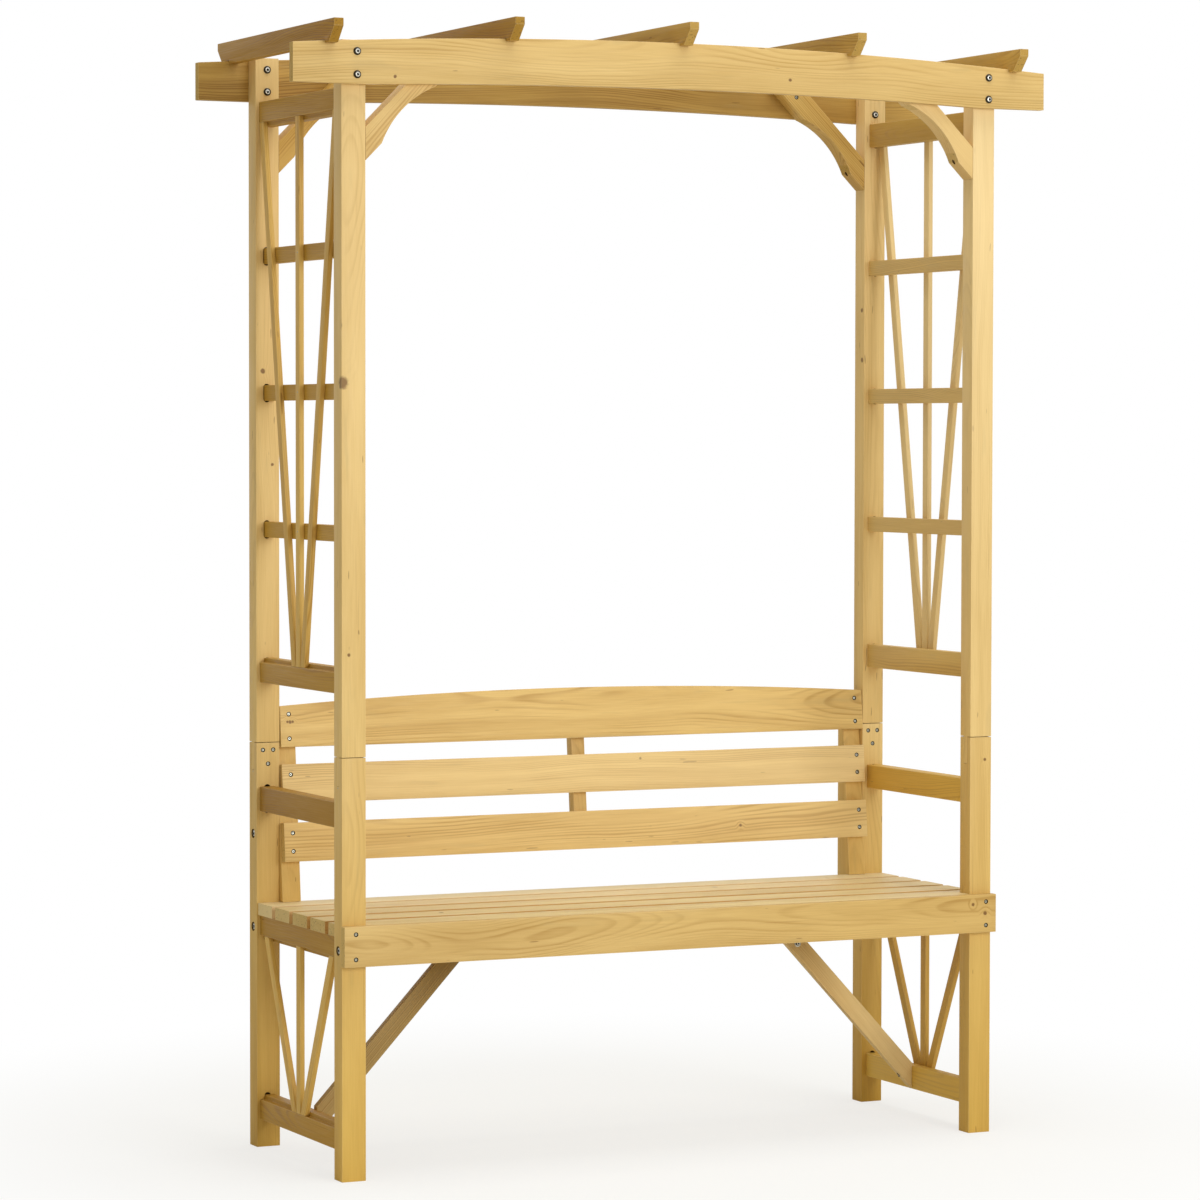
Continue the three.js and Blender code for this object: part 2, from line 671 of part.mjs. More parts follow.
// A bolt whose head lies in a counterbore in the post's outer face.
function addFrameBolt(holder, passed, place, direction) {
  const size = frameBolt;
  const seat = size.sink - gap;
  const bolt = [
    [0, seat - size.headDepth], [size.head, seat - size.headDepth], [size.head, seat],
    [size.shank, seat], [size.shank, size.length], [0, size.length],
  ];
  const counterbore = [[0, -overrun], [size.recess, -overrun], [size.recess, size.sink]];
  const headHole = turned([...counterbore, [0, size.sink]], place, direction, boltSides);
  const fullHole = turned([
    ...counterbore, [size.shank + gap, size.sink],
    [size.shank + gap, size.length + gap], [0, size.length + gap],
  ], place, direction, boltSides);
  fasten(holder, passed, turned(bolt, place, direction, boltSides), headHole, fullHole);
}

// A bolt with a washer, fixed in a brace and run into the cleat behind it.
function addBraceBolt(holder, passed, place, direction) {
  const size = braceBolt;
  const bolt = turned([
    [0, -size.washerDepth - size.headDepth], [size.head, -size.washerDepth - size.headDepth],
    [size.head, -size.washerDepth], [size.washer, -size.washerDepth], [size.washer, 0],
    [size.shank, 0], [size.shank, size.length], [0, size.length],
  ], place, direction, boltSides);
  const hole = turned([
    [0, 0], [size.shank + gap, 0], [size.shank + gap, size.length + gap], [0, size.length + gap],
  ], place, direction, boltSides);
  const piece = pieces.get(holder);
  piece.solid = piece.solid.add(bolt);
  for (const name of passed) {
    const other = pieces.get(name);
    other.solid = other.solid.subtract(hole);
  }
}

for (const [sideName, side] of sides) {
  for (const [endName, end] of ends) {
    const post = `${endName}_${sideName}_post`;
    const beam = `${endName}_beam`;
    const inward = [0, -end, 0];
    const outward = [0, end, 0];

    // Two bolts through the beam and the post
    for (const height of [beamUnderside + beamBoltRise, beamTopBase - beamBoltDrop]) {
      const place = [side * postMiddleX, end * beamOuterY, height];
      addBeamBolt(beam, [`${post}_upper`], place, inward, beamThickness + gap + postDepth);
    }

    // Three screws through the fork and tongue of the post joint, from the inner face
    const spliceScrewPlaces = [
      [-spliceScrewSpread, spliceScrewDrops[0]], [spliceScrewSpread, spliceScrewDrops[0]],
      [0, spliceScrewDrops[1]],
    ];
    for (const [across, drop] of spliceScrewPlaces) {
      const place = [side * postMiddleX + across, end * postInnerY, spliceHeight - drop];
      addScrew(`${post}_lower`, [`${post}_upper`], spliceScrew, place, outward);
    }

    // A toe screw from the scoop of the knee bracket into the post, and one into the beam
    const bracket = `${endName}_${sideName}_knee_bracket`;
    const toeHeight = bracketTip + bracketToeRise;
    const toePlace = [side * (postInnerX - bracketToeStart), end * postMiddleY, toeHeight];
    addScrew(bracket, [`${post}_upper`], toeScrew, toePlace, [side, 0, 0]);
    const faceInward = bracketRise - bracketFaceInset;
    const facePlace = [side * (postInnerX - faceInward), end * postInnerY, bracketTop - bracketFaceDrop];
    addScrew(bracket, [beam], bracketScrew, facePlace, outward);

    // A counterbored bolt through the post and the seat rail's tenon into the end bearer
    const boltPlace = [side * postOuterX, end * postMiddleY, bearerUnderside + bearerDepth / 2];
    const boltPassed = [`${post}_lower`, `${sideName}_seat_rail`];
    addFrameBolt(`${sideName}_end_bearer`, boltPassed, boltPlace, [-side, 0, 0]);
  }

  // A second bolt at the rear holds the outer upright of the backrest
  const uprightPlace = [side * postOuterX, postMiddleY, seatHeight + uprightBoltRise];
  addFrameBolt(`${sideName}_back_upright`, [`rear_${sideName}_post_lower`], uprightPlace, [-side, 0, 0]);

  // Apron screws into the front post and the seat rail's tenon
  for (const height of [seatHeight - apronScrewInset, seatHeight - apronDepth + apronScrewInset]) {
    const place = [side * (postMiddleX + apronScrewShift), apronFront, height];
    const passed = [`front_${sideName}_post_lower`, `${sideName}_seat_rail`];
    addScrew('front_apron', passed, timberScrew, place, [0, 1, 0]);
  }

  // Two screws in each end of each back slat
  const slatScrews = [
    ['lower_back_slat', lowBackSlatFoot, backSlatWidth, backScrewInset],
    ['middle_back_slat', midBackSlatFoot, backSlatWidth, backScrewInset],
    ['upper_back_slat', topBackSlatFoot, topBackSlatWidth, topBackScrewInset],
  ];
  for (const [name, foot, width, inset] of slatScrews) {
    for (const height of [inset, width - inset]) {
      const z = foot + height * Math.cos(recline);
      const place = [side * uprightMiddle, backFrontAt(z), z];
      addScrew(name, [`${sideName}_back_upright`], slatScrew, place, backNormal);
    }
  }

  // A bolt through the brace into its cleat and a screw through its foot into the stretcher
  const bolt = braceBoltAt(sideName);
  const boltPlace = [side * bolt.inward, braceFaces[sideName], bolt.height];
  addBraceBolt(`${sideName}_brace`, [`${sideName}_brace_bearer`], boltPlace, [0, 1, 0]);
  const middleY = braceFaces[sideName] + braceThickness / 2;
  const footScrewX = railInnerX - braceFootScrewReach;
  const footPlace = [side * footScrewX, middleY, braceFootHeight + braceFootScrewRise];
  addScrew(`${sideName}_brace`, [`${sideName}_bottom_stretcher`], footScrew, footPlace, [side, 0, 0]);
}

// A screw through the batten into the middle of each back slat, from behind
const slatMiddleRises = [
  ['lower_back_slat', lowBackSlatFoot, backSlatWidth],
  ['middle_back_slat', midBackSlatFoot, backSlatWidth],
  ['upper_back_slat', topBackSlatFoot, topBackSlatWidth],
];
for (const [name, foot, width] of slatMiddleRises) {
  const z = foot + width / 2 * Math.cos(recline);
  const deep = backSlatThickness + gap + battenThickness;
  const place = [0, backFrontAt(z) + deep * backNormal[1], z + deep * backNormal[2]];
  addScrew('middle_back_batten', [name], battenScrew, place, backNormal.map((part) => -part));
}

// Rafter screws down into the beams
rafterPlaces.forEach((x, i) => {
  for (const [endName, end] of ends) {
    const place = [x, end * beamMiddleY, rafterTopAt(x)];
    addScrew(`rafter_${i + 1}`, [`${endName}_beam`], rafterScrew, place, [0, 0, -1]);
  }
});

// Seat screws up through the bearers into the slats
slatMiddles.forEach((middleY, i) => {
  for (const [name, x] of bearers) {
    addScrew(name, [`seat_slat_${i + 1}`], seatScrew, [x, middleY, bearerUnderside], [0, 0, 1]);
  }
});

// Scene graph

const timberColour = 0xd9b36c;

function timberMaterial() {
  return new THREE.MeshStandardMaterial({
    color: timberColour, roughness: 0.72, metalness: 0, flatShading: true,
  });
}

// A mesh for a finished solid, with its geometry about its own centre.
function toMesh(name, solid, material) {
  const { vertProperties, triVerts, numProp } = solid.getMesh();
  const geometry = new THREE.BufferGeometry();
  geometry.setAttribute('position', new THREE.BufferAttribute(vertProperties, numProp));
  geometry.setIndex(new THREE.BufferAttribute(triVerts, 1));
  geometry.computeBoundingBox();
  const centre = geometry.boundingBox.getCenter(new THREE.Vector3());
  geometry.translate(-centre.x, -centre.y, -centre.z);
  geometry.computeVertexNormals();
  const mesh = new THREE.Mesh(geometry, material);
  mesh.name = name;
  mesh.position.copy(centre);
  return mesh;
}

const arbourSeat = new THREE.Group();
arbourSeat.name = 'arbour_seat';
for (const groupName of ['side_frames', 'roof', 'seat', 'backrest']) {
  const group = new THREE.Group();
  group.name = groupName;
  for (const [name, piece] of pieces) {
    if (piece.group !== groupName) continue;
    group.add(toMesh(name, piece.solid, timberMaterial()));
  }
  arbourSeat.add(group);
}

export default arbourSeat;
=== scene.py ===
# Wooden arbour seat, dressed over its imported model: two trellised side frames carry a slatted bench,
# a leaning backrest and a pergola roof. Sizes are in millimetres, measured from the middle of the
# plan on the ground, X along the bench, Y from front to back, Z up; meshes are scaled to metres.

import json
import math
import random

import bmesh
import bpy
from mathutils import Matrix, Vector

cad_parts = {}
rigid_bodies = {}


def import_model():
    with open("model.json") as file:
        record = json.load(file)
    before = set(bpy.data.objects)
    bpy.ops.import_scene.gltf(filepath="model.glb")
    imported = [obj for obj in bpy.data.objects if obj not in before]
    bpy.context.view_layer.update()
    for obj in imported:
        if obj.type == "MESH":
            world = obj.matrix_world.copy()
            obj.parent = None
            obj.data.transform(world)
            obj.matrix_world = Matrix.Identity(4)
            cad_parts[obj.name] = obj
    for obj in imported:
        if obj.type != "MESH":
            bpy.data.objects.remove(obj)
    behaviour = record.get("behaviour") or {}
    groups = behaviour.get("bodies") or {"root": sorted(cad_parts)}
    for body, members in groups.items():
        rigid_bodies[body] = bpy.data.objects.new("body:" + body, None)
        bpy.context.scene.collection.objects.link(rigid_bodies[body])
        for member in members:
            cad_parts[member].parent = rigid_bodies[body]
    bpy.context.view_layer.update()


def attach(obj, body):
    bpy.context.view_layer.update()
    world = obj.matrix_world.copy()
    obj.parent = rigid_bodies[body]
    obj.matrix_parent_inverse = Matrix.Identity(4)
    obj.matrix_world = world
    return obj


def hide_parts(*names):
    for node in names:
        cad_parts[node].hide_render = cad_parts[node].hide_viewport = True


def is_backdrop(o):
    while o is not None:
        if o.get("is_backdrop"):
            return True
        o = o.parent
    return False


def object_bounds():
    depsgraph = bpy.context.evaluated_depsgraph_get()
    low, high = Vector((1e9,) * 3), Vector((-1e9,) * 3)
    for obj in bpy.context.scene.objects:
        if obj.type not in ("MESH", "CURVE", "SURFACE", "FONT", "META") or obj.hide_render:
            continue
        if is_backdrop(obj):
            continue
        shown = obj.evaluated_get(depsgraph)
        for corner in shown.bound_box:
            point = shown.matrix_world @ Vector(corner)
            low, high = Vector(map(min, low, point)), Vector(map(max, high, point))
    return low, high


for leftover in list(bpy.data.objects):
    bpy.data.objects.remove(leftover)
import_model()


# Posts
# Four square-edged posts of planed pale softwood, each in two lengths with a tongue and fork
# joint above the arm rail. Round-ended mortises take the rails, and bolts sit in counterbores.

METRE = 0.001
UP = (0, 0, 1)
SIDES = (("left", -1), ("right", 1))
ENDS = (("front", -1), ("rear", 1))
POST_OUTER_X, POST_INNER_X = 653.5, 608.5
POST_OUTER_Y, POST_INNER_Y = 225.5, 189.0
POST_MIDDLE_X = (POST_OUTER_X + POST_INNER_X) / 2
POST_MIDDLE_Y = (POST_OUTER_Y + POST_INNER_Y) / 2
POST_TOP = 1988
JOINT_HEIGHT = 742
TONGUE_LENGTH = 50
TONGUE_HALF = (POST_OUTER_Y - POST_INNER_Y) / 6
HAIRLINE = 0.3
JOINT_SLIT = 1.1
RAIL_MIDDLE_X = 632.75
RAIL_FEET = (51, 381.7, 617, 852.5, 1863)
RAIL_DEPTH = 45
MORTISE_HALF = 6.3
MORTISE_SLACKS = {"left": (4, 4, 4, 0.7, 1), "right": (4, 4, 0.7, 0.7, 1)}
RUNG_SLACKS = {"left": 2.6, "right": 1.0}
TENON_LENGTH = 25
RUNG_DEPTH = 28.5
RUNG_FEET = (1117.5, 1366.0, 1614.5)
POST_BOLT_HEIGHTS = {"front": (404.2,), "rear": (404.2, 575)}
COUNTERBORE = 8.5
COUNTERBORE_DEPTH = 7
COUNTERBORE_SIDES = 32
SPLICE_SCREWS = ((-10, 13.2), (10, 13.2), (0, 38.7))
SCREW_HOLE = 4.3
SCREW_HOLE_DEPTH = 2.4
SCREW_HOLE_SIDES = 16
CUT_PAST = 3
HALF_ROUND_STEPS = 8
POST_EASE = 0.9
SHARP_ANGLE, CREASE_ANGLE = math.radians(30), math.radians(20)
JOINT_HONEY = 0.2
UPPER_HEART_SHIFT = 17
NEARLY_UPRIGHT = 0.9
FACING = 0.3
TRUNK_LENGTH = 40

timber_yard = random.Random(41)


def add_prism(solid, outline, axis, start, end):
    """Adds an outline in millimetres, run along one axis, to a mesh being built."""
    order = {"X": (2, 0, 1), "Y": (0, 2, 1), "Z": (0, 1, 2)}[axis]
    rings = []
    for level in (start, end):
        places = [(a, b, level) for a, b in outline]
        rings.append([solid.verts.new([place[i] * METRE for i in order]) for place in places])
    count = len(outline)
    faces = [solid.faces.new(rings[0]), solid.faces.new(rings[1])]
    for i in range(count):
        after = (i + 1) % count
        faces.append(solid.faces.new((rings[0][i], rings[0][after], rings[1][after], rings[1][i])))
    bmesh.ops.recalc_face_normals(solid, faces=faces)


def add_pin(solid, place, direction, radius, length, sides=SCREW_HOLE_SIDES):
    """Adds a round pin that starts at a place and runs along a direction."""
    made = bmesh.ops.create_cone(
        solid, cap_ends=True, segments=sides, radius1=radius * METRE, radius2=radius * METRE,
        depth=length * METRE,
    )
    turn = Vector(UP).rotation_difference(Vector(direction)).to_matrix().to_4x4()
    middle = (Vector(place) + Vector(direction).normalized() * (length / 2)) * METRE
    bmesh.ops.transform(solid, matrix=Matrix.Translation(middle) @ turn, verts=made["verts"])


def ease_edges(solid, width):
    """Takes the sharp corners off, and marks the narrow faces that this leaves."""
    eased = solid.faces.layers.float.new("eased")
    sharp = [edge for edge in solid.edges if edge.calc_face_angle(0) > SHARP_ANGLE]
    made = bmesh.ops.bevel(
        solid, geom=sharp, offset=width * METRE, segments=2, profile=0.6, affect="EDGES",
        clamp_overlap=True,
    )
    for face in made["faces"]:
        face[eased] = 1.0


def to_piece(name, solid):
    """Ends a mesh being built and puts it in the scene."""
    mesh = bpy.data.meshes.new(name)
    solid.to_mesh(mesh)
    solid.free()
    piece = bpy.data.objects.new(name, mesh)
    bpy.context.scene.collection.objects.link(piece)
    return piece


def saw(name, outline, axis, start, end, ease, lean=None):
    """A piece of wood: an outline run along one axis, with eased edges, leaned over if asked."""
    solid = bmesh.new()
    add_prism(solid, outline, axis, start, end)
    ease_edges(solid, ease)
    if lean is not None:
        bmesh.ops.transform(solid, matrix=lean, verts=solid.verts)
    return to_piece(name, solid)


def settle(piece):
    """Makes what the modifiers do to a piece its own plain mesh."""
    shown = piece.evaluated_get(bpy.context.evaluated_depsgraph_get())
    mesh = bpy.data.meshes.new_from_object(shown)
    piece.modifiers.clear()
    piece.data = mesh


def joinery(piece, solid, operation="DIFFERENCE"):
    """Cuts the shapes of a mesh being built out of a piece, or joins them to it."""
    if operation == "DIFFERENCE":
        # Cut faces are marked, so that the timber paints shade inside holes and mortises
        bored = solid.faces.layers.float.new("bored")
        for face in solid.faces:
            face[bored] = 1.0
    tool = to_piece("chisel", solid)
    cutting = piece.modifiers.new("joinery", "BOOLEAN")
    cutting.operation = operation
    cutting.solver = "EXACT"
    cutting.object = tool
    settle(piece)
    bpy.data.objects.remove(tool)


def finish_timber(piece, along, material, node, heart, tone, honey=(0.0, 0.0), side_shade=0.0):
    """Gives a piece its grain, tone, end grain and material, and puts it on the frame.

    heart is how far the middle of the tree lies from the middle of the piece, across its grain.
    tone is how much paler (above 0) or deeper (below 0) the piece is at either end, and honey how
    much yellower it is there. side_shade is how much painted shade darkens its two narrow sides.
    """
    mesh = piece.data
    grain_way = Vector(along).normalized()
    side_way = grain_way.orthogonal().normalized()
    if abs(grain_way.z) < NEARLY_UPRIGHT:
        side_way = grain_way.cross(Vector(UP)).normalized()
    up_way = grain_way.cross(side_way)
    ways = (grain_way, side_way, up_way)
    places = [vertex.co.copy() for vertex in mesh.vertices]
    lows = [min(place.dot(way) for place in places) for way in ways]
    highs = [max(place.dot(way) for place in places) for way in ways]
    middle = [(low + high) / 2 for low, high in zip(lows, highs)]
    shift = timber_yard.uniform(0, TRUNK_LENGTH)
    grain, tones, honeys = [], [], []
    for place in places:
        run = place.dot(grain_way)
        grain += [
            run - middle[0] + shift,
            place.dot(side_way) - middle[1] + heart[0] * METRE,
            place.dot(up_way) - middle[2] + heart[1] * METRE,
        ]
        share = (run - lows[0]) / (highs[0] - lows[0])
        tones.append(tone[0] + (tone[1] - tone[0]) * share)
        honeys.append(honey[0] + (honey[1] - honey[0]) * share)
    ends = [float(abs(face.normal.dot(grain_way)) > FACING) for face in mesh.polygons]
    # Painted shade on the narrow sides, which face into the gaps between seat slats
    sides = [side_shade * (abs(face.normal.dot(side_way)) > FACING) for face in mesh.polygons]
    kept = (
        ("grain", "FLOAT_VECTOR", "POINT", "vector", grain),
        ("tone", "FLOAT", "POINT", "value", tones),
        ("honey", "FLOAT", "POINT", "value", honeys),
        ("end_grain", "FLOAT", "FACE", "value", ends),
        ("side_shade", "FLOAT", "FACE", "value", sides),
    )
    for name, kind, domain, _, _ in kept:
        mesh.attributes.new(name, kind, domain)
    for name, _, _, part, values in kept:
        mesh.attributes[name].data.foreach_set(part, values)
    mesh.polygons.foreach_set("use_smooth", [True] * len(mesh.polygons))
    mesh.set_sharp_from_angle(angle=CREASE_ANGLE)
    mesh.materials.clear()
    mesh.materials.append(material)
    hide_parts(node)
    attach(piece, "root")


class Figure:
    """A value, colour or vector over the surface of a piece, wired as shader nodes."""

    def __init__(self, tree, made=None, output=0):
        self.tree = tree
        self.made = made
        self.socket = made.outputs[output] if made else None

    def node(self, kind, settings, values, output=0):
        """One new node: its settings first, then the values or links of its sockets."""
        made = self.tree.nodes.new(kind)
        for setting, value in settings.items():
            setattr(made, setting, value)
        for place, value in values.items():
            if isinstance(value, Figure):
                self.tree.links.new(value.socket, made.inputs[place])
            else:
                made.inputs[place].default_value = value
        return Figure(self.tree, made, output)

    def part(self, output):
        return Figure(self.tree, self.made, output)

    def math(self, operation, *values):
        return self.node("ShaderNodeMath", {"operation": operation}, dict(enumerate(values)))

    def vector(self, operation, *values):
        output = 1 if operation == "LENGTH" else 0
        settings = {"operation": operation}
        return self.node("ShaderNodeVectorMath", settings, dict(enumerate(values)), output)

    def __add__(self, other):
        return self.math("ADD", self, other)

    def __sub__(self, other):
        return self.math("SUBTRACT", self, other)

    def __rsub__(self, other):
        return self.math("SUBTRACT", other, self)

    def __mul__(self, other):
        return self.math("MULTIPLY", self, other)

    __radd__ = __add__
    __rmul__ = __mul__

    def between(self, low, high):
        """0 below low and 1 above high, turning smoothly in between."""
        settings = {"interpolation_type": "SMOOTHSTEP"}
        return self.node("ShaderNodeMapRange", settings, {0: self, 1: low, 2: high})

    def tint(self, first, second):
        """The first colour where this is 0 or less, and the second where it is 1 or more."""
        settings = {"data_type": "RGBA", "clamp_factor": True}
        return self.node("ShaderNodeMix", settings, {0: self, 6: first, 7: second}, output=2)

    def attribute(self, name, output="Fac"):
        return self.node("ShaderNodeAttribute", {"attribute_name": name}, {}, output)

    def noise(self, stretch, detail=2.0, roughness=0.5, output=0):
        """Clouds stretched along and across the grain, by how many fit in a metre each way."""
        stretched = self.vector("MULTIPLY", self, stretch)
        values = {"Vector": stretched, "Scale": 1.0, "Detail": detail, "Roughness": roughness}
        return self.node("ShaderNodeTexNoise", {}, values, output)


def stain(red, green, blue):
    """A colour given as it looks on a screen, each part from 0 to 255."""
    parts = [part / 255 for part in (red, green, blue)]
    linear = [p / 12.92 if p < 0.04045 else ((p + 0.055) / 1.055) ** 2.4 for p in parts]
    return (*linear, 1.0)


SMUDGE, DARK_LINE, RESIN = stain(178, 158, 112), stain(160, 116, 58), stain(120, 76, 34)
KNOT_BROWN, PORE = stain(112, 72, 32), stain(96, 74, 40)
# Below: end grain, and the brown of painted shade on the narrow sides of seat slats
END_WOOD, SIDE_SHADE_BROWN = stain(200, 169, 102), stain(200, 148, 78)
PALEST, RUBBED_HIGHLIGHT, HOLE_SHADE = stain(252, 233, 190), stain(250, 226, 176), stain(74, 46, 20)
PLAIN = (1.0, 1.0, 1.0, 1.0)
YELLOWED = (0.99, 0.885, 0.37, 1.0)
DEEPENED = (0.5, 0.4, 0.13, 1.0)
BUMP_DEPTH = 0.4


def timber(name, pale, deep, ring, figure, streaks=0.5, knots=()):
    """Planed softwood. Rings round the heart of the tree give its figure on every face.

    pale and deep are the colours of spring and summer wood, and ring is the width of a year's
    growth. figure is the strength of its lines, streaks how much the years differ from each
    other, and knots is a list of (place, radius).
    """
    material = bpy.data.materials.new(name)
    material.use_nodes = True
    tree = material.node_tree
    shader = tree.nodes["Principled BSDF"]
    start = Figure(tree)
    grain = start.attribute("grain", "Vector")
    tone, honey, eased, end_grain, side_shade, bored = [
        start.attribute(name) for name in ("tone", "honey", "eased", "end_grain", "side_shade", "bored")
    ]
    place = start.node("ShaderNodeTexCoord", {}, {}, "Object")

    # The tree doesn't grow straight, so its heart wanders along the piece
    wander = grain.noise((1.6, 2.0, 2.0), detail=1.0, output=1)
    wander = wander.vector("SUBTRACT", wander, (0.5, 0.5, 0.5))
    bent = wander.vector("MULTIPLY_ADD", wander, (0.0, 0.09, 0.09), grain)
    ripple = grain.noise((7.0, 24.0, 24.0), detail=1.0)
    from_heart = bent.vector("LENGTH", bent.vector("MULTIPLY", bent, (0.0, 1.0, 1.0)))

    # Some summers are long and some are short, so the years aren't equally wide
    age = from_heart * (1 / (ring * METRE))
    decade = start.node("ShaderNodeCombineXYZ", {}, {0: 0.0, 1: age * 0.3, 2: 0.0})
    year = age + decade.noise((1.0, 1.0, 1.0), detail=1.0) * 2.0 + ripple * 1.1

    # Knots push the rings aside
    knot_core = None
    rough_edge = place.noise((160.0, 160.0, 160.0), detail=1.0)
    for knot_place, radius in knots:
        to_centre = [-part * METRE for part in knot_place]
        away = place.vector("LENGTH", place.vector("ADD", place, to_centre))
        away = away * (1 / (radius * METRE)) + rough_edge * 0.5
        year = year + (1 - away.between(0.6, 3.6)) * 1.1
        core = 1 - away.between(0.75, 1.25)
        knot_core = core if knot_core is None else knot_core.math("MAXIMUM", knot_core, core)

    # The summer wood of each year is a soft darker line, which comes and goes along the grain
    phase = year.math("FRACT", year)
    summer = phase.between(0.4, 0.8) * (1 - phase.between(0.82, 1.0))
    along = start.node("ShaderNodeSeparateXYZ", {}, {0: grain})
    by_year = start.node("ShaderNodeCombineXYZ", {}, {0: along * 0.5, 1: from_heart * 70, 2: 0.0})
    band = by_year.noise((1.0, 1.0, 1.0), detail=2.0)
    fibre = grain.noise((14.0, 520.0, 520.0), detail=2.0, roughness=0.65)
    cloud = grain.noise((2.6, 16.0, 16.0), detail=2.0)
    strength = grain.noise((2.4, 20.0, 20.0), detail=2.0).between(0.36, 0.66)
    amount = summer * band * strength * (3.0 * figure) + (band - 0.5) * streaks
    amount = amount + (fibre - 0.5) * 0.6 + (cloud - 0.5) * 1.1 + 0.32
    colour = amount.tint(pale, deep)

    # Grey smudges, fine dark lines along the grain, and a few short flecks of resin
    smudge = grain.noise((6.0, 38.0, 38.0), detail=3.0).between(0.6, 0.74)
    colour = (smudge * 0.2).tint(colour, SMUDGE)
    line = grain.noise((4.0, 300.0, 300.0), detail=1.0).between(0.68, 0.8)
    colour = (line * 0.3).tint(colour, DARK_LINE)
    fleck = grain.noise((30.0, 240.0, 240.0), detail=0.0).between(0.83, 0.87)
    colour = (fleck * 0.55).tint(colour, RESIN)
    if knot_core is not None:
        colour = (knot_core * 0.85).tint(colour, KNOT_BROWN)

    # End grain is duller and dotted with pores, and narrow sides get painted shade, for the shadow in the
    # gaps between seat slats
    speckle = place.noise((420.0, 420.0, 420.0), detail=2.0)
    pore = place.noise((300.0, 300.0, 300.0), detail=0.0).between(0.7, 0.76)
    colour = (end_grain * (speckle * 0.6 + 0.4)).tint(colour, END_WOOD)
    colour = (end_grain * pore * 0.55).tint(colour, PORE)
    # Painted shade on the narrow sides
    colour = side_shade.tint(colour, SIDE_SHADE_BROWN)

    # Pieces differ in tone. Edges are rubbed pale and carry a painted highlight, and holes and mortises
    # get painted shade inside
    colour = tone.tint(colour, PALEST)
    colour = colour.vector("MULTIPLY", colour, (tone * -1.0).tint(PLAIN, DEEPENED))
    colour = colour.vector("MULTIPLY", colour, honey.tint(PLAIN, YELLOWED))
    # Eased edges: partly pale wear, partly a painted highlight
    colour = (eased * 0.12).tint(colour, RUBBED_HIGHLIGHT)
    # Painted shade inside holes and mortises
    colour = (bored * 0.8).tint(colour, HOLE_SHADE)
    tree.links.new(colour.socket, shader.inputs["Base Color"])

    rough = fibre * 0.3 + end_grain * 0.2 - summer * 0.08 + 0.41
    tree.links.new(rough.socket, shader.inputs["Roughness"])
    relief = summer * 0.5 + fibre
    values = {"Strength": 0.25, "Distance": BUMP_DEPTH * METRE, "Height": relief}
    bump = start.node("ShaderNodeBump", {}, values)
    tree.links.new(bump.socket, shader.inputs["Normal"])
    shader.inputs["Specular IOR Level"].default_value = 0.35
    return material


def mortise_row(side, end, mortises):
    """Round-ended mortises of one side frame, each a foot, height and slack, cut into a post."""
    cutters = bmesh.new()
    start, stop = end * (POST_INNER_Y - CUT_PAST), end * (POST_INNER_Y + TENON_LENGTH + HAIRLINE)
    for foot, height, slack in mortises:
        high = foot + height + slack - MORTISE_HALF
        low = foot - slack + MORTISE_HALF
        outline = []
        for z, from_turn in ((high, 0), (low, math.pi)):
            for i in range(HALF_ROUND_STEPS + 1):
                turn = from_turn + math.pi * i / HALF_ROUND_STEPS
                x = side * RAIL_MIDDLE_X + math.cos(turn) * MORTISE_HALF
                outline.append((x, z + math.sin(turn) * MORTISE_HALF))
        add_prism(cutters, outline, "Y", start, stop)
    return cutters


# The knots lie on the faces of the posts, and one on the outer corner of the front left one
post_pine = timber(
    "post_pine", stain(233, 202, 142), stain(206, 171, 106), ring=3.8, figure=0.2, streaks=0.65,
    knots=[
        ((-652, -223, 1395), 14), ((-640, -226, 922), 4), ((608, 198, 1548), 6), ((608, 197, 1451), 6),
        ((-654, 176, 575), 5), ((-640, 189, 1420), 6), ((640, -226, 700), 4), ((-622, 189, 1250), 4),
    ],
)
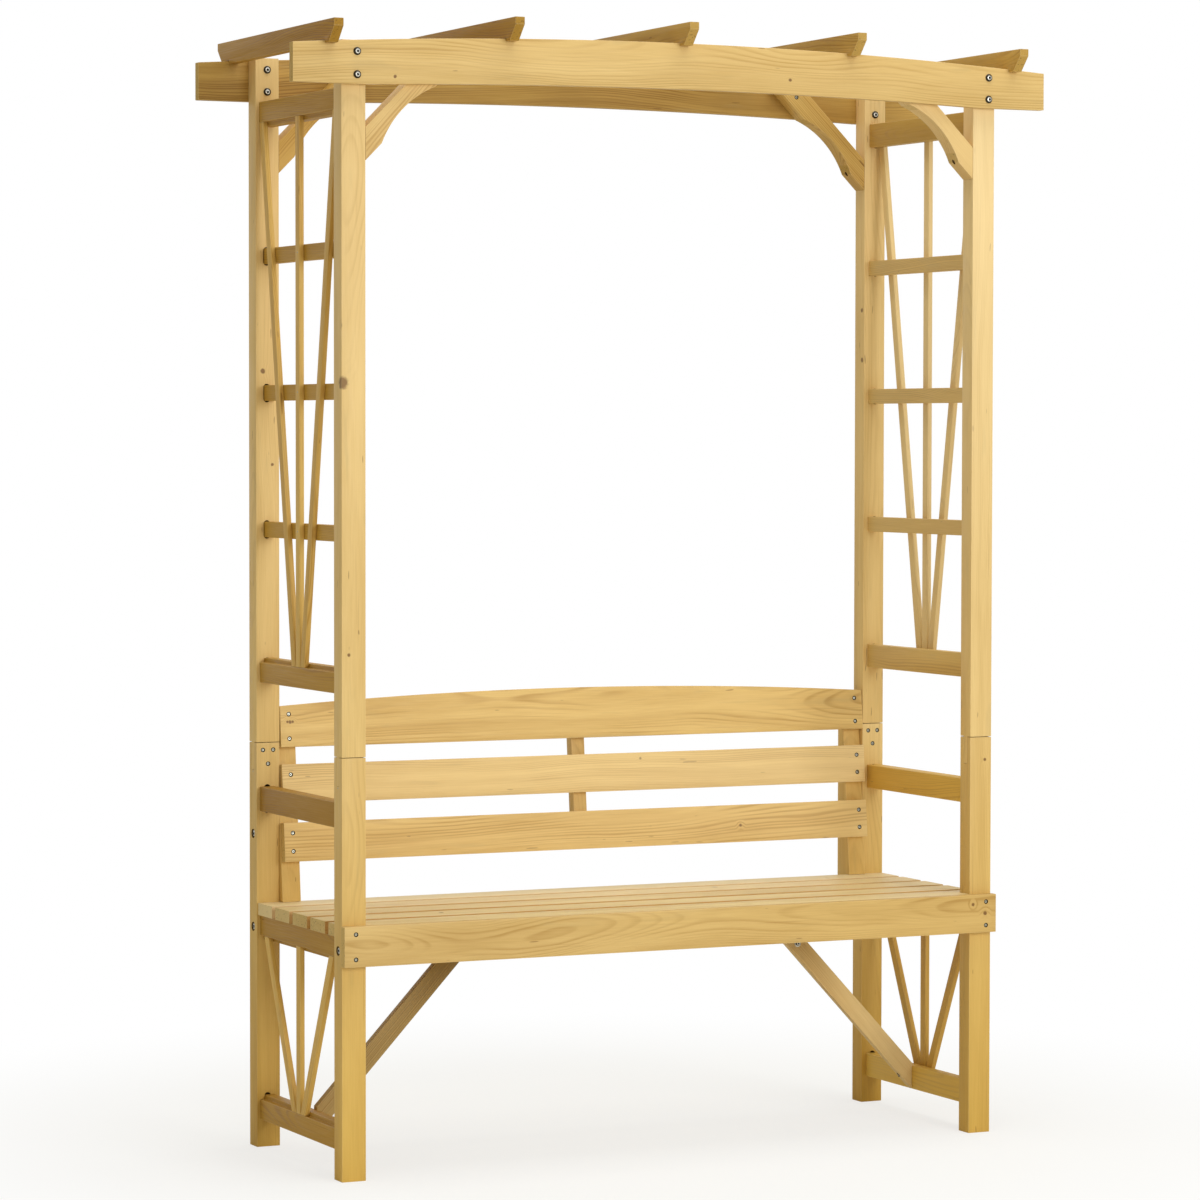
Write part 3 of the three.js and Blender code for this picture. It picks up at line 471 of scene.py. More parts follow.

# By corner: the heart of the tree, the tones of the lower and the upper length, and the honey of
# the foot
# The upper lengths are paler wood, and the paling and lessening honey up each post are painted light from
# the lamps above
post_looks = {
    "front_left": ((75, 48), (-0.2, -0.05), (0.0, 0.06), 0.85),
    "front_right": ((-80, 34), (-0.3, -0.17), (0.08, 0.35), 0.85),
    "rear_left": ((48, -72), (-0.38, -0.24), (0.0, -0.06), 0.8),
    "rear_right": ((30, 88), (-0.6, 0.16), (-0.05, 0.08), 0.95),
}
for side_name, side in SIDES:
    rails = [(foot, RAIL_DEPTH, slack) for foot, slack in zip(RAIL_FEET, MORTISE_SLACKS[side_name])]
    rungs = [(foot, RUNG_DEPTH, RUNG_SLACKS[side_name]) for foot in RUNG_FEET]
    for end_name, end in ENDS:
        corner = f"{end_name}_{side_name}"
        heart, lower_tone, upper_tone, foot_honey = post_looks[corner]
        x0, x1 = side * POST_INNER_X, side * POST_OUTER_X
        y0, y1 = end * POST_INNER_Y, end * POST_OUTER_Y
        middle = end * POST_MIDDLE_Y
        fork, tongue = TONGUE_HALF + HAIRLINE / 2, TONGUE_HALF - HAIRLINE / 2
        tongue_foot = JOINT_HEIGHT - TONGUE_LENGTH

        lower = saw(f"{corner}_lower_post", [
            (y0, 0), (y1, 0), (y1, JOINT_HEIGHT), (middle + end * fork, JOINT_HEIGHT),
            (middle + end * fork, tongue_foot), (middle - end * fork, tongue_foot),
            (middle - end * fork, JOINT_HEIGHT), (y0, JOINT_HEIGHT),
        ], "X", x0, x1, POST_EASE)
        cutters = mortise_row(side, end, rails[:3])
        for across, drop in SPLICE_SCREWS:
            start = (side * POST_MIDDLE_X + across, end * (POST_INNER_Y - CUT_PAST), JOINT_HEIGHT - drop)
            add_pin(cutters, start, (0, end, 0), SCREW_HOLE, CUT_PAST + SCREW_HOLE_DEPTH)
        for height in POST_BOLT_HEIGHTS[end_name]:
            start = (side * (POST_OUTER_X + CUT_PAST), middle, height)
            depth = COUNTERBORE_DEPTH + CUT_PAST
            add_pin(cutters, start, (-side, 0, 0), COUNTERBORE, depth, COUNTERBORE_SIDES)
        joinery(lower, cutters)
        honey = (foot_honey, JOINT_HONEY)
        finish_timber(lower, UP, post_pine, f"{corner}_post_lower", heart, lower_tone, honey)

        shoulder = JOINT_HEIGHT + JOINT_SLIT
        tongue_tip = tongue_foot + HAIRLINE
        upper = saw(f"{corner}_upper_post", [
            (y0, shoulder), (middle - end * tongue, shoulder), (middle - end * tongue, tongue_tip),
            (middle + end * tongue, tongue_tip), (middle + end * tongue, shoulder), (y1, shoulder),
            (y1, POST_TOP), (y0, POST_TOP),
        ], "X", x0, x1, POST_EASE)
        joinery(upper, mortise_row(side, end, rails[3:] + rungs))
        heart = [part + UPPER_HEART_SHIFT for part in heart]
        honey = (JOINT_HONEY, 0.0)
        finish_timber(upper, UP, post_pine, f"{corner}_post_upper", heart, upper_tone, honey)


# Rails of the side frames
# Five softwood rails a side, planed flush and tenoned between the two posts. Where a fan of laths
# meets a rail, its outer edge is rebated from end to end to take the lath ends.

RAIL_INNER_X, RAIL_OUTER_X = 618.5, 647.0
RAIL_NAMES = ("bottom_stretcher", "seat_rail", "arm_rail", "trellis_bottom_rail", "top_rail")
RAIL_REBATES = ("top", "bottom", None, "top", "bottom")
REBATE_DEPTH = 8
REBATE_WIDTH = 9.3
TENON_HALF = 6
TENON_SHOULDER = 2
SHOULDER_Y = POST_INNER_Y - HAIRLINE
RAIL_EASE = 1.2
ALONG_Y = (0, 1, 0)


def rectangle(a0, a1, b0, b1):
    """The corners of a rectangle between two places across and two places up."""
    return [(a0, b0), (a1, b0), (a1, b1), (a0, b1)]


rail_pine = timber("rail_pine", stain(218, 181, 100), stain(186, 144, 68), ring=3.4, figure=0.45)
rail_tones = {"left": (-0.48, -0.72, -0.8, -0.5, -0.56), "right": (0.3, 0.0, 0.18, 0.08, -0.45)}
rail_honeys = {"left": (0.75, 0.65, 0.75, 0.7, 0.6), "right": (0.9, 0.5, 0.85, 0.0, 0.0)}
for side_name, side in SIDES:
    looks = zip(rail_tones[side_name], rail_honeys[side_name])
    for rail_name, foot, rebate, look in zip(RAIL_NAMES, RAIL_FEET, RAIL_REBATES, looks):
        inner, outer, top = side * RAIL_INNER_X, side * RAIL_OUTER_X, foot + RAIL_DEPTH
        ledge = side * (RAIL_OUTER_X - REBATE_WIDTH)
        outline = rectangle(inner, outer, foot, top)
        if rebate == "top":
            outline = [
                (inner, foot), (outer, foot), (outer, top - REBATE_DEPTH), (ledge, top - REBATE_DEPTH),
                (ledge, top), (inner, top),
            ]
        if rebate == "bottom":
            outline = [
                (inner, foot), (ledge, foot), (ledge, foot + REBATE_DEPTH), (outer, foot + REBATE_DEPTH),
                (outer, top), (inner, top),
            ]
        rail = saw(f"{side_name}_{rail_name}_wood", outline, "Y", -SHOULDER_Y, SHOULDER_Y, RAIL_EASE)
        tenons = bmesh.new()
        middle = side * RAIL_MIDDLE_X
        low, high = foot + TENON_SHOULDER, top - TENON_SHOULDER
        outline = rectangle(middle - TENON_HALF, middle + TENON_HALF, low, high)
        for _, end in ENDS:
            root, tip = end * (SHOULDER_Y - CUT_PAST), end * (POST_INNER_Y + TENON_LENGTH)
            add_prism(tenons, outline, "Y", root, tip)
        joinery(rail, tenons, "UNION")
        heart = (timber_yard.uniform(25, 80), timber_yard.uniform(-60, 60))
        tones, honeys = [(value, value) for value in look]
        finish_timber(rail, ALONG_Y, rail_pine, f"{side_name}_{rail_name}", heart, tones, honeys)


# Trellis rungs
# Three flat rungs a side stand behind the laths, stub tenoned into the posts. They are one board,
# repeated at equal steps up the trellis.

RUNG_THICKNESS = 19.2
RUNG_TENON_INNER, RUNG_TENON_OUTER = 626.8, 637.0
RUNG_EASE = 1.2
RUNG_HEART = (44, 310)


class Layout:
    """A Geometry Nodes tree in the making, with its sizes as named inputs."""

    KINDS = {
        "size": "NodeSocketFloat", "count": "NodeSocketInt", "place": "NodeSocketVector",
        "finish": "NodeSocketMaterial", "shape": "NodeSocketGeometry",
    }

    def __init__(self, name, inputs):
        self.tree = bpy.data.node_groups.new(name, "GeometryNodeTree")
        self.tree.interface.new_socket("Shape", in_out="OUTPUT", socket_type="NodeSocketGeometry")
        self.identifiers = {}
        for label, kind in {"Points": "shape", **inputs}.items():
            made = self.tree.interface.new_socket(label, in_out="INPUT", socket_type=self.KINDS[kind])
            self.identifiers[label] = made.identifier
        self.source = self.tree.nodes.new("NodeGroupInput").outputs

    def node(self, kind, settings, values, output=0):
        """One new node: its settings first, then the values or links of its sockets."""
        made = self.tree.nodes.new(kind)
        for setting, value in settings.items():
            setattr(made, setting, value)
        for place, value in values.items():
            for part in value if isinstance(value, list) else [value]:
                if isinstance(part, bpy.types.NodeSocket):
                    self.tree.links.new(part, made.inputs[place])
                else:
                    made.inputs[place].default_value = part
        return made.outputs[output] if made.outputs else None

    def math(self, operation, *values):
        return self.node("ShaderNodeMath", {"operation": operation}, dict(enumerate(values)))

    def point(self, x, y, z):
        return self.node("ShaderNodeCombineXYZ", {}, {0: x, 1: y, 2: z})

    def close(self, shape, finish):
        """Ends the tree: instances become real mesh and get their material."""
        real = self.node("GeometryNodeRealizeInstances", {}, {0: shape})
        dressed = self.node("GeometryNodeSetMaterial", {}, {0: real, 2: finish})
        self.node("NodeGroupOutput", {}, {0: dressed})

    def make(self, name, values, points=(), aims=()):
        """Runs the tree on some points, each with the way it faces, and returns a plain piece."""
        mesh = bpy.data.meshes.new(name)
        mesh.from_pydata([Vector(point) * METRE for point in points], [], [])
        aim = mesh.attributes.new("aim", "FLOAT_VECTOR", "POINT")
        for i, way in enumerate(aims):
            aim.data[i].vector = way
        piece = bpy.data.objects.new(name, mesh)
        bpy.context.scene.collection.objects.link(piece)
        layout = piece.modifiers.new("layout", "NODES")
        layout.node_group = self.tree
        for label, value in values.items():
            layout[self.identifiers[label]] = value
        settle(piece)
        return piece


# A row of boards: each is an eased rectangle run along its length, set out by count and step
boards = Layout("board_row", {
    "Length": "size", "Width": "size", "Thickness": "size", "Ease": "size", "Heading": "size",
    "Count": "count", "Place": "place", "Step": "place", "Timber": "finish",
})
section = boards.node(
    "GeometryNodeCurvePrimitiveQuadrilateral", {"mode": "RECTANGLE"},
    {0: boards.source["Width"], 1: boards.source["Thickness"]},
)
section = boards.node(
    "GeometryNodeFilletCurve", {"mode": "POLY"}, {0: section, 1: 2, 2: boards.source["Ease"]},
)
half_length = boards.math("MULTIPLY", boards.source["Length"], 0.5)
board_start = boards.point(boards.math("MULTIPLY", half_length, -1.0), 0.0, 0.0)
board_line = boards.node(
    "GeometryNodeCurvePrimitiveLine", {}, {0: board_start, 1: boards.point(half_length, 0.0, 0.0)},
)
board = boards.node(
    "GeometryNodeCurveToMesh", {}, {"Curve": board_line, "Profile Curve": section, "Fill Caps": True},
)
row = boards.node(
    "GeometryNodeMeshLine", {"mode": "OFFSET"},
    {0: boards.source["Count"], 2: boards.source["Place"], 3: boards.source["Step"]},
)
heading = boards.node(
    "FunctionNodeAxisAngleToRotation", {}, {0: UP, 1: boards.source["Heading"]},
)
boards.close(
    boards.node("GeometryNodeInstanceOnPoints", {}, {0: row, 2: board, 5: heading}),
    boards.source["Timber"],
)

rung_pine = timber("rung_pine", stain(218, 181, 102), stain(184, 144, 68), ring=3.0, figure=0.5)
rung_looks = {"left": (-0.38, 0.75), "right": (0.13, 0.0)}
for side_name, side in SIDES:
    rung_middle = side * (RAIL_INNER_X + RUNG_THICKNESS / 2)
    rungs = boards.make(f"{side_name}_trellis_rungs", {
        "Length": SHOULDER_Y * 2 * METRE, "Width": RUNG_THICKNESS * METRE,
        "Thickness": RUNG_DEPTH * METRE, "Ease": RUNG_EASE * METRE, "Heading": math.pi / 2,
        "Count": len(RUNG_FEET), "Place": Vector((rung_middle, 0, RUNG_FEET[0] + RUNG_DEPTH / 2)) * METRE,
        "Step": Vector((0, 0, RUNG_FEET[1] - RUNG_FEET[0])) * METRE, "Timber": rung_pine,
    })
    tenons = bmesh.new()
    for foot in RUNG_FEET:
        outline = rectangle(
            side * RUNG_TENON_INNER, side * RUNG_TENON_OUTER, foot + TENON_SHOULDER,
            foot + RUNG_DEPTH - TENON_SHOULDER,
        )
        for _, end in ENDS:
            tip = end * (POST_INNER_Y + TENON_LENGTH / 2)
            add_prism(tenons, outline, "Y", end * (SHOULDER_Y - CUT_PAST), tip)
    joinery(rungs, tenons, "UNION")
    tones, honeys = [(value, value) for value in rung_looks[side_name]]
    ladder = f"{side_name}_trellis_ladder"
    finish_timber(rungs, ALONG_Y, rung_pine, ladder, RUNG_HEART, tones, honeys)


# Fan laths
# Thin laths let into the rebates of the rails: three fan out up the trellis, from its bottom rail
# to the top rail, and three shorter ones stand between the stretcher and the seat rail.

LATH_WIDTH, LATH_THICKNESS = 19, 9
LATH_EASE = 0.8
LATH_TONE_SPREAD = 0.08
FAN_FOOT = 21

# Each fan by how far its outer laths have spread at the top, and the rail edges that it joins
FANS = (
    ("trellis", 178, RAIL_FEET[3] + RAIL_DEPTH, RAIL_FEET[4]),
    ("lower", 158, RAIL_FEET[0] + RAIL_DEPTH, RAIL_FEET[1]),
)

lath_pine = timber("lath_pine", stain(227, 193, 120), stain(194, 153, 78), ring=3.0, figure=0.45)
lath_looks = {
    "left": {"trellis": (-0.05, 0.35), "lower": (-0.05, 0.45)},
    "right": {"trellis": (0.4, 0.0), "lower": (-0.25, 0.6)},
}
for side_name, side in SIDES:
    for fan_name, spread, foot_edge, top_edge in FANS:
        foot = foot_edge - REBATE_DEPTH + HAIRLINE
        top = top_edge + REBATE_DEPTH - HAIRLINE
        for lath_name, lean in (("front", -1), ("middle", 0), ("rear", 1)):
            foot_y, top_y = lean * FAN_FOOT, lean * spread
            half = LATH_WIDTH / 2 * math.hypot(1, (top_y - foot_y) / (top - foot))
            lath = saw(f"{side_name}_{fan_name}_{lath_name}_batten", [
                (foot_y - half, foot), (foot_y + half, foot), (top_y + half, top), (top_y - half, top),
            ], "X", side * (RAIL_OUTER_X - LATH_THICKNESS), side * RAIL_OUTER_X, LATH_EASE)
            node = f"{side_name}_{fan_name}_{lath_name}_lath"
            if fan_name == "trellis" and lean == 0:
                node = f"{side_name}_trellis_ladder"
            heart = (timber_yard.uniform(-60, 60), timber_yard.uniform(20, 60))
            tone, honey = lath_looks[side_name][fan_name]
            tone += timber_yard.uniform(-LATH_TONE_SPREAD, LATH_TONE_SPREAD)
            along = (0, top_y - foot_y, top - foot)
            finish_timber(lath, along, lath_pine, node, heart, (tone, tone), (honey, honey))


# Roof beams
# Two boards arched along both edges, bolted flat against the outer faces of the posts, front and
# rear. The rear one is painted browner, as painted shade for the shadow that the front beam casts on it.

BEAM_HALF = 750
BEAM_INNER_Y, BEAM_OUTER_Y = 225.8, 242.8
BEAM_UNDERSIDE = 1911
BEAM_TOP_BASE = 1979
BEAM_TOP_RISE = 26.5
BEAM_ARCH_RISE = 12.5
BEAM_ARCH_STEPS = 48
CROWN_STEPS = 60
BEAM_EASE = 1.0
ALONG_X = (1, 0, 0)


def arc(half_chord, base, rise, steps):
    """Points of a flat arch from left to right, its middle raised by rise."""
    radius = (half_chord ** 2 + rise ** 2) / (2 * rise)
    half_turn = math.asin(half_chord / radius)
    points = []
    for i in range(steps + 1):
        turn = half_turn * (2 * i / steps - 1)
        points.append((radius * math.sin(turn), base + rise - radius + radius * math.cos(turn)))
    return points


beam_pine = timber(
    "beam_pine", stain(236, 205, 141), stain(204, 168, 100), ring=4.6, figure=0.45, streaks=0.7,
    knots=[((-560, -243, 1926), 4), ((215, -243, 1948), 4)],
)
# The rear beam's browner wood is painted shade, for the front beam's shadow on it
shaded_beam_pine = timber(
    "shaded_rear_beam_pine", stain(197, 159, 82), stain(148, 109, 44), ring=4.6, figure=0.5, streaks=1.0,
)
beam_looks = {
    "front": (beam_pine, (38, 46), (-0.26, -0.26)), "rear": (shaded_beam_pine, (-34, 62), (0.0, 0.0)),
}
beam_outline = [
    (-BEAM_HALF, BEAM_UNDERSIDE), *arc(POST_INNER_X, BEAM_UNDERSIDE, BEAM_ARCH_RISE, BEAM_ARCH_STEPS),
    (BEAM_HALF, BEAM_UNDERSIDE), *reversed(arc(BEAM_HALF, BEAM_TOP_BASE, BEAM_TOP_RISE, CROWN_STEPS)),
]
for end_name, end in ENDS:
    inner, outer = end * BEAM_INNER_Y, end * BEAM_OUTER_Y
    beam = saw(f"{end_name}_roof_beam", beam_outline, "Y", inner, outer, BEAM_EASE)
    pine, heart, tone = beam_looks[end_name]
    finish_timber(beam, ALONG_X, pine, f"{end_name}_beam", heart, tone)


# Rafters
# Five boards on edge, notched down over both beams, with a short upright nose at each end that is
# cut back underneath at 45 degrees. Each one follows the arch of the beams.

RAFTER_PLACES = (-682, -341, 0, 341, 682)
RAFTER_HALF = 285
RAFTER_DEPTH = 40
RAFTER_THICKNESS = 18
RAFTER_NOTCH = 5.5
RAFTER_NOSE = 13
RAFTER_CUT_BACK = 25
RAFTER_EASE = 0.9
RAFTER_FRONT_TONE = 0.14


def rafter_top(x):
    """Top of a rafter, whose notch rests on the higher side of the arched beam."""
    radius = (BEAM_HALF ** 2 + BEAM_TOP_RISE ** 2) / (2 * BEAM_TOP_RISE)
    edge = max(abs(x) - RAFTER_THICKNESS / 2, 0)
    beam_top = BEAM_TOP_BASE + BEAM_TOP_RISE - radius + math.sqrt(radius ** 2 - edge ** 2)
    return beam_top + HAIRLINE + RAFTER_DEPTH - RAFTER_NOTCH


rafter_pine = timber("rafter_pine", stain(222, 186, 108), stain(182, 141, 66), ring=4.0, figure=0.5)
rafter_looks = (
    ((20, 60), -0.66, 0.9), ((34, 51), -0.58, 0.7), ((48, 42), -0.28, 0.2), ((62, 33), -0.28, 0.2),
    ((76, 24), -0.28, 0.3),
)
for i, (x, (heart, tone, honey)) in enumerate(zip(RAFTER_PLACES, rafter_looks), 1):
    top = rafter_top(x)
    foot = top - RAFTER_DEPTH
    inner, outer = BEAM_INNER_Y - HAIRLINE, BEAM_OUTER_Y + HAIRLINE
    rear = [
        (RAFTER_HALF, top), (RAFTER_HALF, top - RAFTER_NOSE), (RAFTER_HALF - RAFTER_CUT_BACK, foot),
        (outer, foot), (outer, foot + RAFTER_NOTCH), (inner, foot + RAFTER_NOTCH), (inner, foot),
    ]
    front = [(-y, z) for y, z in reversed(rear)]
    half = RAFTER_THICKNESS / 2
    rafter = saw(f"rafter_{i}_board", rear + front, "X", x - half, x + half, RAFTER_EASE)
    tones, honeys = (tone - RAFTER_FRONT_TONE, tone), (honey, honey)
    finish_timber(rafter, ALONG_Y, rafter_pine, f"rafter_{i}", heart, tones, honeys)


# Knee brackets
# Four scooped brackets, as thick as the posts, brace the posts against the beams. Their grain
# runs at 45 degrees. Each has a toe screw at the foot of its scoop, and one into the beam.

BRACKET_TIP = 1780
BRACKET_TOP = 1975
BRACKET_CONTACT = 58
SCOOP_START = 31
SCOOP_RUN = 102
SCOOP_DEPTH = 15
SCOOP_STEPS = 24
BRACKET_EASE = 1.2
TOE_SCREW_HEIGHT = 1812
TOE_SCREW_START = 26
TOE_HOLE_LENGTH = 33
TOE_HOLE_REACH = 30
FACE_SCREW_INWARD = 150.5
FACE_SCREW_HEIGHT = 1955


def bracket_outline():
    """The bracket by how far it reaches in from the post, and height."""
    radius = (SCOOP_RUN ** 2 / 2 + SCOOP_DEPTH ** 2) / (2 * SCOOP_DEPTH)
    half_turn = math.asin(SCOOP_RUN / math.sqrt(2) / radius)
    middle = SCOOP_START + SCOOP_RUN / 2
    points = [(HAIRLINE, BRACKET_TIP + HAIRLINE)]
    for i in range(SCOOP_STEPS + 1):
        turn = half_turn * (2 * i / SCOOP_STEPS - 1)
        along = radius * math.sin(turn) / math.sqrt(2)
        inward = (SCOOP_DEPTH - radius + radius * math.cos(turn)) / math.sqrt(2)
        points.append((middle + along - inward, BRACKET_TIP + middle + along + inward))
    rise = BRACKET_TOP - BRACKET_TIP
    points += [(rise, BRACKET_TOP), (rise - BRACKET_CONTACT, BRACKET_TOP)]
    points.append((HAIRLINE, BRACKET_TIP + BRACKET_CONTACT + HAIRLINE))
    return points


bracket_pine = timber("bracket_pine", stain(233, 201, 137), stain(199, 160, 94), ring=3.6, figure=0.55)
bracket_looks = {
    "front_left": ((-0.05, 0.0), 0.0), "front_right": ((0.05, 0.15), 0.0),
    "rear_left": ((-0.35, -0.35), 0.6), "rear_right": ((-0.4, -0.3), 0.4),
}
for side_name, side in SIDES:
    for end_name, end in ENDS:
        corner = f"{end_name}_{side_name}"
        outline = [(side * (POST_INNER_X - inward), z) for inward, z in bracket_outline()]
        inner, outer = end * POST_INNER_Y, end * POST_OUTER_Y
        bracket = saw(f"{corner}_bracket", outline, "Y", inner, outer, BRACKET_EASE)
        cutters = bmesh.new()
        toe_x = side * (POST_INNER_X - TOE_SCREW_START - TOE_HOLE_REACH)
        toe = (toe_x, end * POST_MIDDLE_Y, TOE_SCREW_HEIGHT)
        add_pin(cutters, toe, (side, 0, 0), SCREW_HOLE, TOE_HOLE_LENGTH)
        face_x = side * (POST_INNER_X - FACE_SCREW_INWARD)
        face = (face_x, end * (POST_INNER_Y - CUT_PAST), FACE_SCREW_HEIGHT)
        add_pin(cutters, face, (0, end, 0), SCREW_HOLE, CUT_PAST + SCREW_HOLE_DEPTH)
        joinery(bracket, cutters)
        heart = (timber_yard.uniform(20, 60), timber_yard.uniform(-70, -30))
        tones, honey = bracket_looks[corner]
        way = (-side, 0, 1)
        finish_timber(bracket, way, bracket_pine, f"{corner}_knee_bracket", heart, tones, (honey, honey))


# Seat slats
# Five planed slats lie along the seat with a gap between them. The front one is notched round the
# front posts, and the others are plain boards of one size.

SEAT_TOP = 449
SLAT_THICKNESS = 22
SLAT_WIDTH = 70
SLAT_COUNT = 5
SLAT_STEP = 86.05
SLAT_HALF = 651
SLAT_EASE = 0.5
NOTCH_X, NOTCH_Y = POST_INNER_X - HAIRLINE, HAIRLINE - POST_INNER_Y
# How much painted shade darkens the narrow sides of the slats, in the gaps between them
SIDE_SHADE_AMOUNT = 0.8

slat_pine = timber(
    "slat_pine", stain(229, 209, 158), stain(196, 166, 108), ring=3.2, figure=0.65, streaks=0.7,
    knots=[((232, 84, 449), 7), ((-410, -98, 449), 6), ((505, 140, 449), 6)],
)
slat_looks = (
    ((70, 22), (0.0, 0.05)), ((-58, 40), (-0.03, 0.04)), ((85, -34), (-0.04, 0.1)),
    ((52, 36), (0.12, 0.25)), ((-64, 30), (0.42, 0.48)),
)
front_edge = -POST_OUTER_Y
slat_middles = [front_edge + SLAT_WIDTH / 2 + i * SLAT_STEP for i in range(SLAT_COUNT)]
for number, (middle, (heart, tones)) in enumerate(zip(slat_middles, slat_looks), 1):
    if number == 1:
        slat = saw("seat_board_1", [
            (-NOTCH_X, front_edge), (NOTCH_X, front_edge), (NOTCH_X, NOTCH_Y), (SLAT_HALF, NOTCH_Y),
            (SLAT_HALF, front_edge + SLAT_WIDTH), (-SLAT_HALF, front_edge + SLAT_WIDTH),
            (-SLAT_HALF, NOTCH_Y), (-NOTCH_X, NOTCH_Y),
        ], "Z", SEAT_TOP - SLAT_THICKNESS, SEAT_TOP, SLAT_EASE)
    else:
        slat = boards.make(f"seat_board_{number}", {
            "Length": SLAT_HALF * 2 * METRE, "Width": SLAT_WIDTH * METRE,
            "Thickness": SLAT_THICKNESS * METRE, "Ease": SLAT_EASE * METRE, "Heading": 0.0, "Count": 1,
            "Place": Vector((0, middle, SEAT_TOP - SLAT_THICKNESS / 2)) * METRE,
            "Step": (0.0, 0.0, 0.0), "Timber": slat_pine,
        })
    finish_timber(slat, ALONG_X, slat_pine, f"seat_slat_{number}", heart, tones, side_shade=SIDE_SHADE_AMOUNT)


# Front apron
# A flat sawn board that covers the front edge of the seat, screwed to the front posts. Its heart
# lies close to its face, so its grain runs in broad figures.

APRON_HALF = 655.5
APRON_FRONT, APRON_REAR = -242.8, -225.8
APRON_FOOT = 378
APRON_EASE = 1.0
APRON_HEART, APRON_TONES, APRON_HONEYS = (58, 16), (0.0, -0.12), (0.05, 0.25)
APRON_SCREW_X = 634
APRON_SCREW_HEIGHTS = (435.5, 391.5)
APRON_HOLE_DEPTH = 2.0
SHOWN_HOLE_SIDES = 20

apron_pine = timber(
    "apron_pine", stain(222, 190, 127), stain(188, 151, 86), ring=2.8, figure=0.38,
    knots=[((606, -243, 431), 4), ((632, -243, 414), 5)],
)
outline = rectangle(-APRON_HALF, APRON_HALF, APRON_FOOT, SEAT_TOP)
apron = saw("apron_board", outline, "Y", APRON_FRONT, APRON_REAR, APRON_EASE)
cutters = bmesh.new()
for _, side in SIDES:
    for height in APRON_SCREW_HEIGHTS:
        start = (side * APRON_SCREW_X, APRON_FRONT - CUT_PAST, height)
        depth = CUT_PAST + APRON_HOLE_DEPTH
        add_pin(cutters, start, ALONG_Y, SCREW_HOLE, depth, SHOWN_HOLE_SIDES)
joinery(apron, cutters)
finish_timber(apron, ALONG_X, apron_pine, "front_apron", APRON_HEART, APRON_TONES, APRON_HONEYS)


# Seat bearers and cleats
# Rough square battens under the slats: one at each end that reaches both posts, and one above
# each brace. A cleat glued under each brace bearer hangs behind the brace and takes its bolt.

BEARER_FOOT, BEARER_TOP = 381.7, 426.7
BEARER_HALF = 14.25
BEARER_EASE = 1.0
BEARER_TONE = (-0.2, -0.2)
END_BEARER_X, END_BEARER_REAR = 593.95, 223
BRACE_BEARER_X = 373
CLEAT_DEPTH = 22
CLEAT_MARGIN = 7
CLEAT_HEART = (30, 50)
BRACE_THICKNESS = 17
BRACE_FACES = {"left": -20, "right": 5.5}
BRACE_BOLTS = {"left": (352.5, 360.0), "right": (368.0, 343.5)}

bearer_pine = timber("bearer_pine", stain(216, 174, 100), stain(180, 132, 66), ring=3.4, figure=0.4)
for side_name, side in SIDES:
    bearers = (("end", END_BEARER_X, END_BEARER_REAR), ("brace", BRACE_BEARER_X, SHOULDER_Y))
    for kind, x, rear in bearers:
        outline = rectangle(side * x - BEARER_HALF, side * x + BEARER_HALF, BEARER_FOOT, BEARER_TOP)
        bearer = saw(f"{side_name}_{kind}_batten", outline, "Y", -POST_OUTER_Y, rear, BEARER_EASE)
        heart = (timber_yard.uniform(20, 60), timber_yard.uniform(20, 60))
        node = f"{side_name}_{kind}_bearer"
        finish_timber(bearer, ALONG_Y, bearer_pine, node, heart, BEARER_TONE)
    front = BRACE_FACES[side_name] + BRACE_THICKNESS + HAIRLINE
    bolt_x, bolt_height = BRACE_BOLTS[side_name]
    near, far = side * (bolt_x - CLEAT_MARGIN), side * (BRACE_BEARER_X + BEARER_HALF)
    outline = rectangle(near, far, bolt_height - CLEAT_MARGIN, BEARER_FOOT)
    cleat = saw(f"{side_name}_brace_cleat", outline, "Y", front, front + CLEAT_DEPTH, BEARER_EASE)
    finish_timber(cleat, UP, bearer_pine, f"{side_name}_brace_bearer", CLEAT_HEART, BEARER_TONE)


# Braces
# A flat brace on each side rises from the bottom stretcher to the seat, its foot cut upright and
# its head level. The left one is of duller wood, which partly stands for shade, and both get painted shade
# that deepens toward the head, under the seat.

BRACE_FOOT_X = RAIL_INNER_X - HAIRLINE
BRACE_FOOT_HEIGHT = 76.8
BRACE_WIDTH = 34
BRACE_EASE = 1.0
BRACE_HEART = (24, 40)
FOOT_SCREW_X, FOOT_SCREW_HEIGHT = 594, 78
FOOT_HOLE_LENGTH = 40

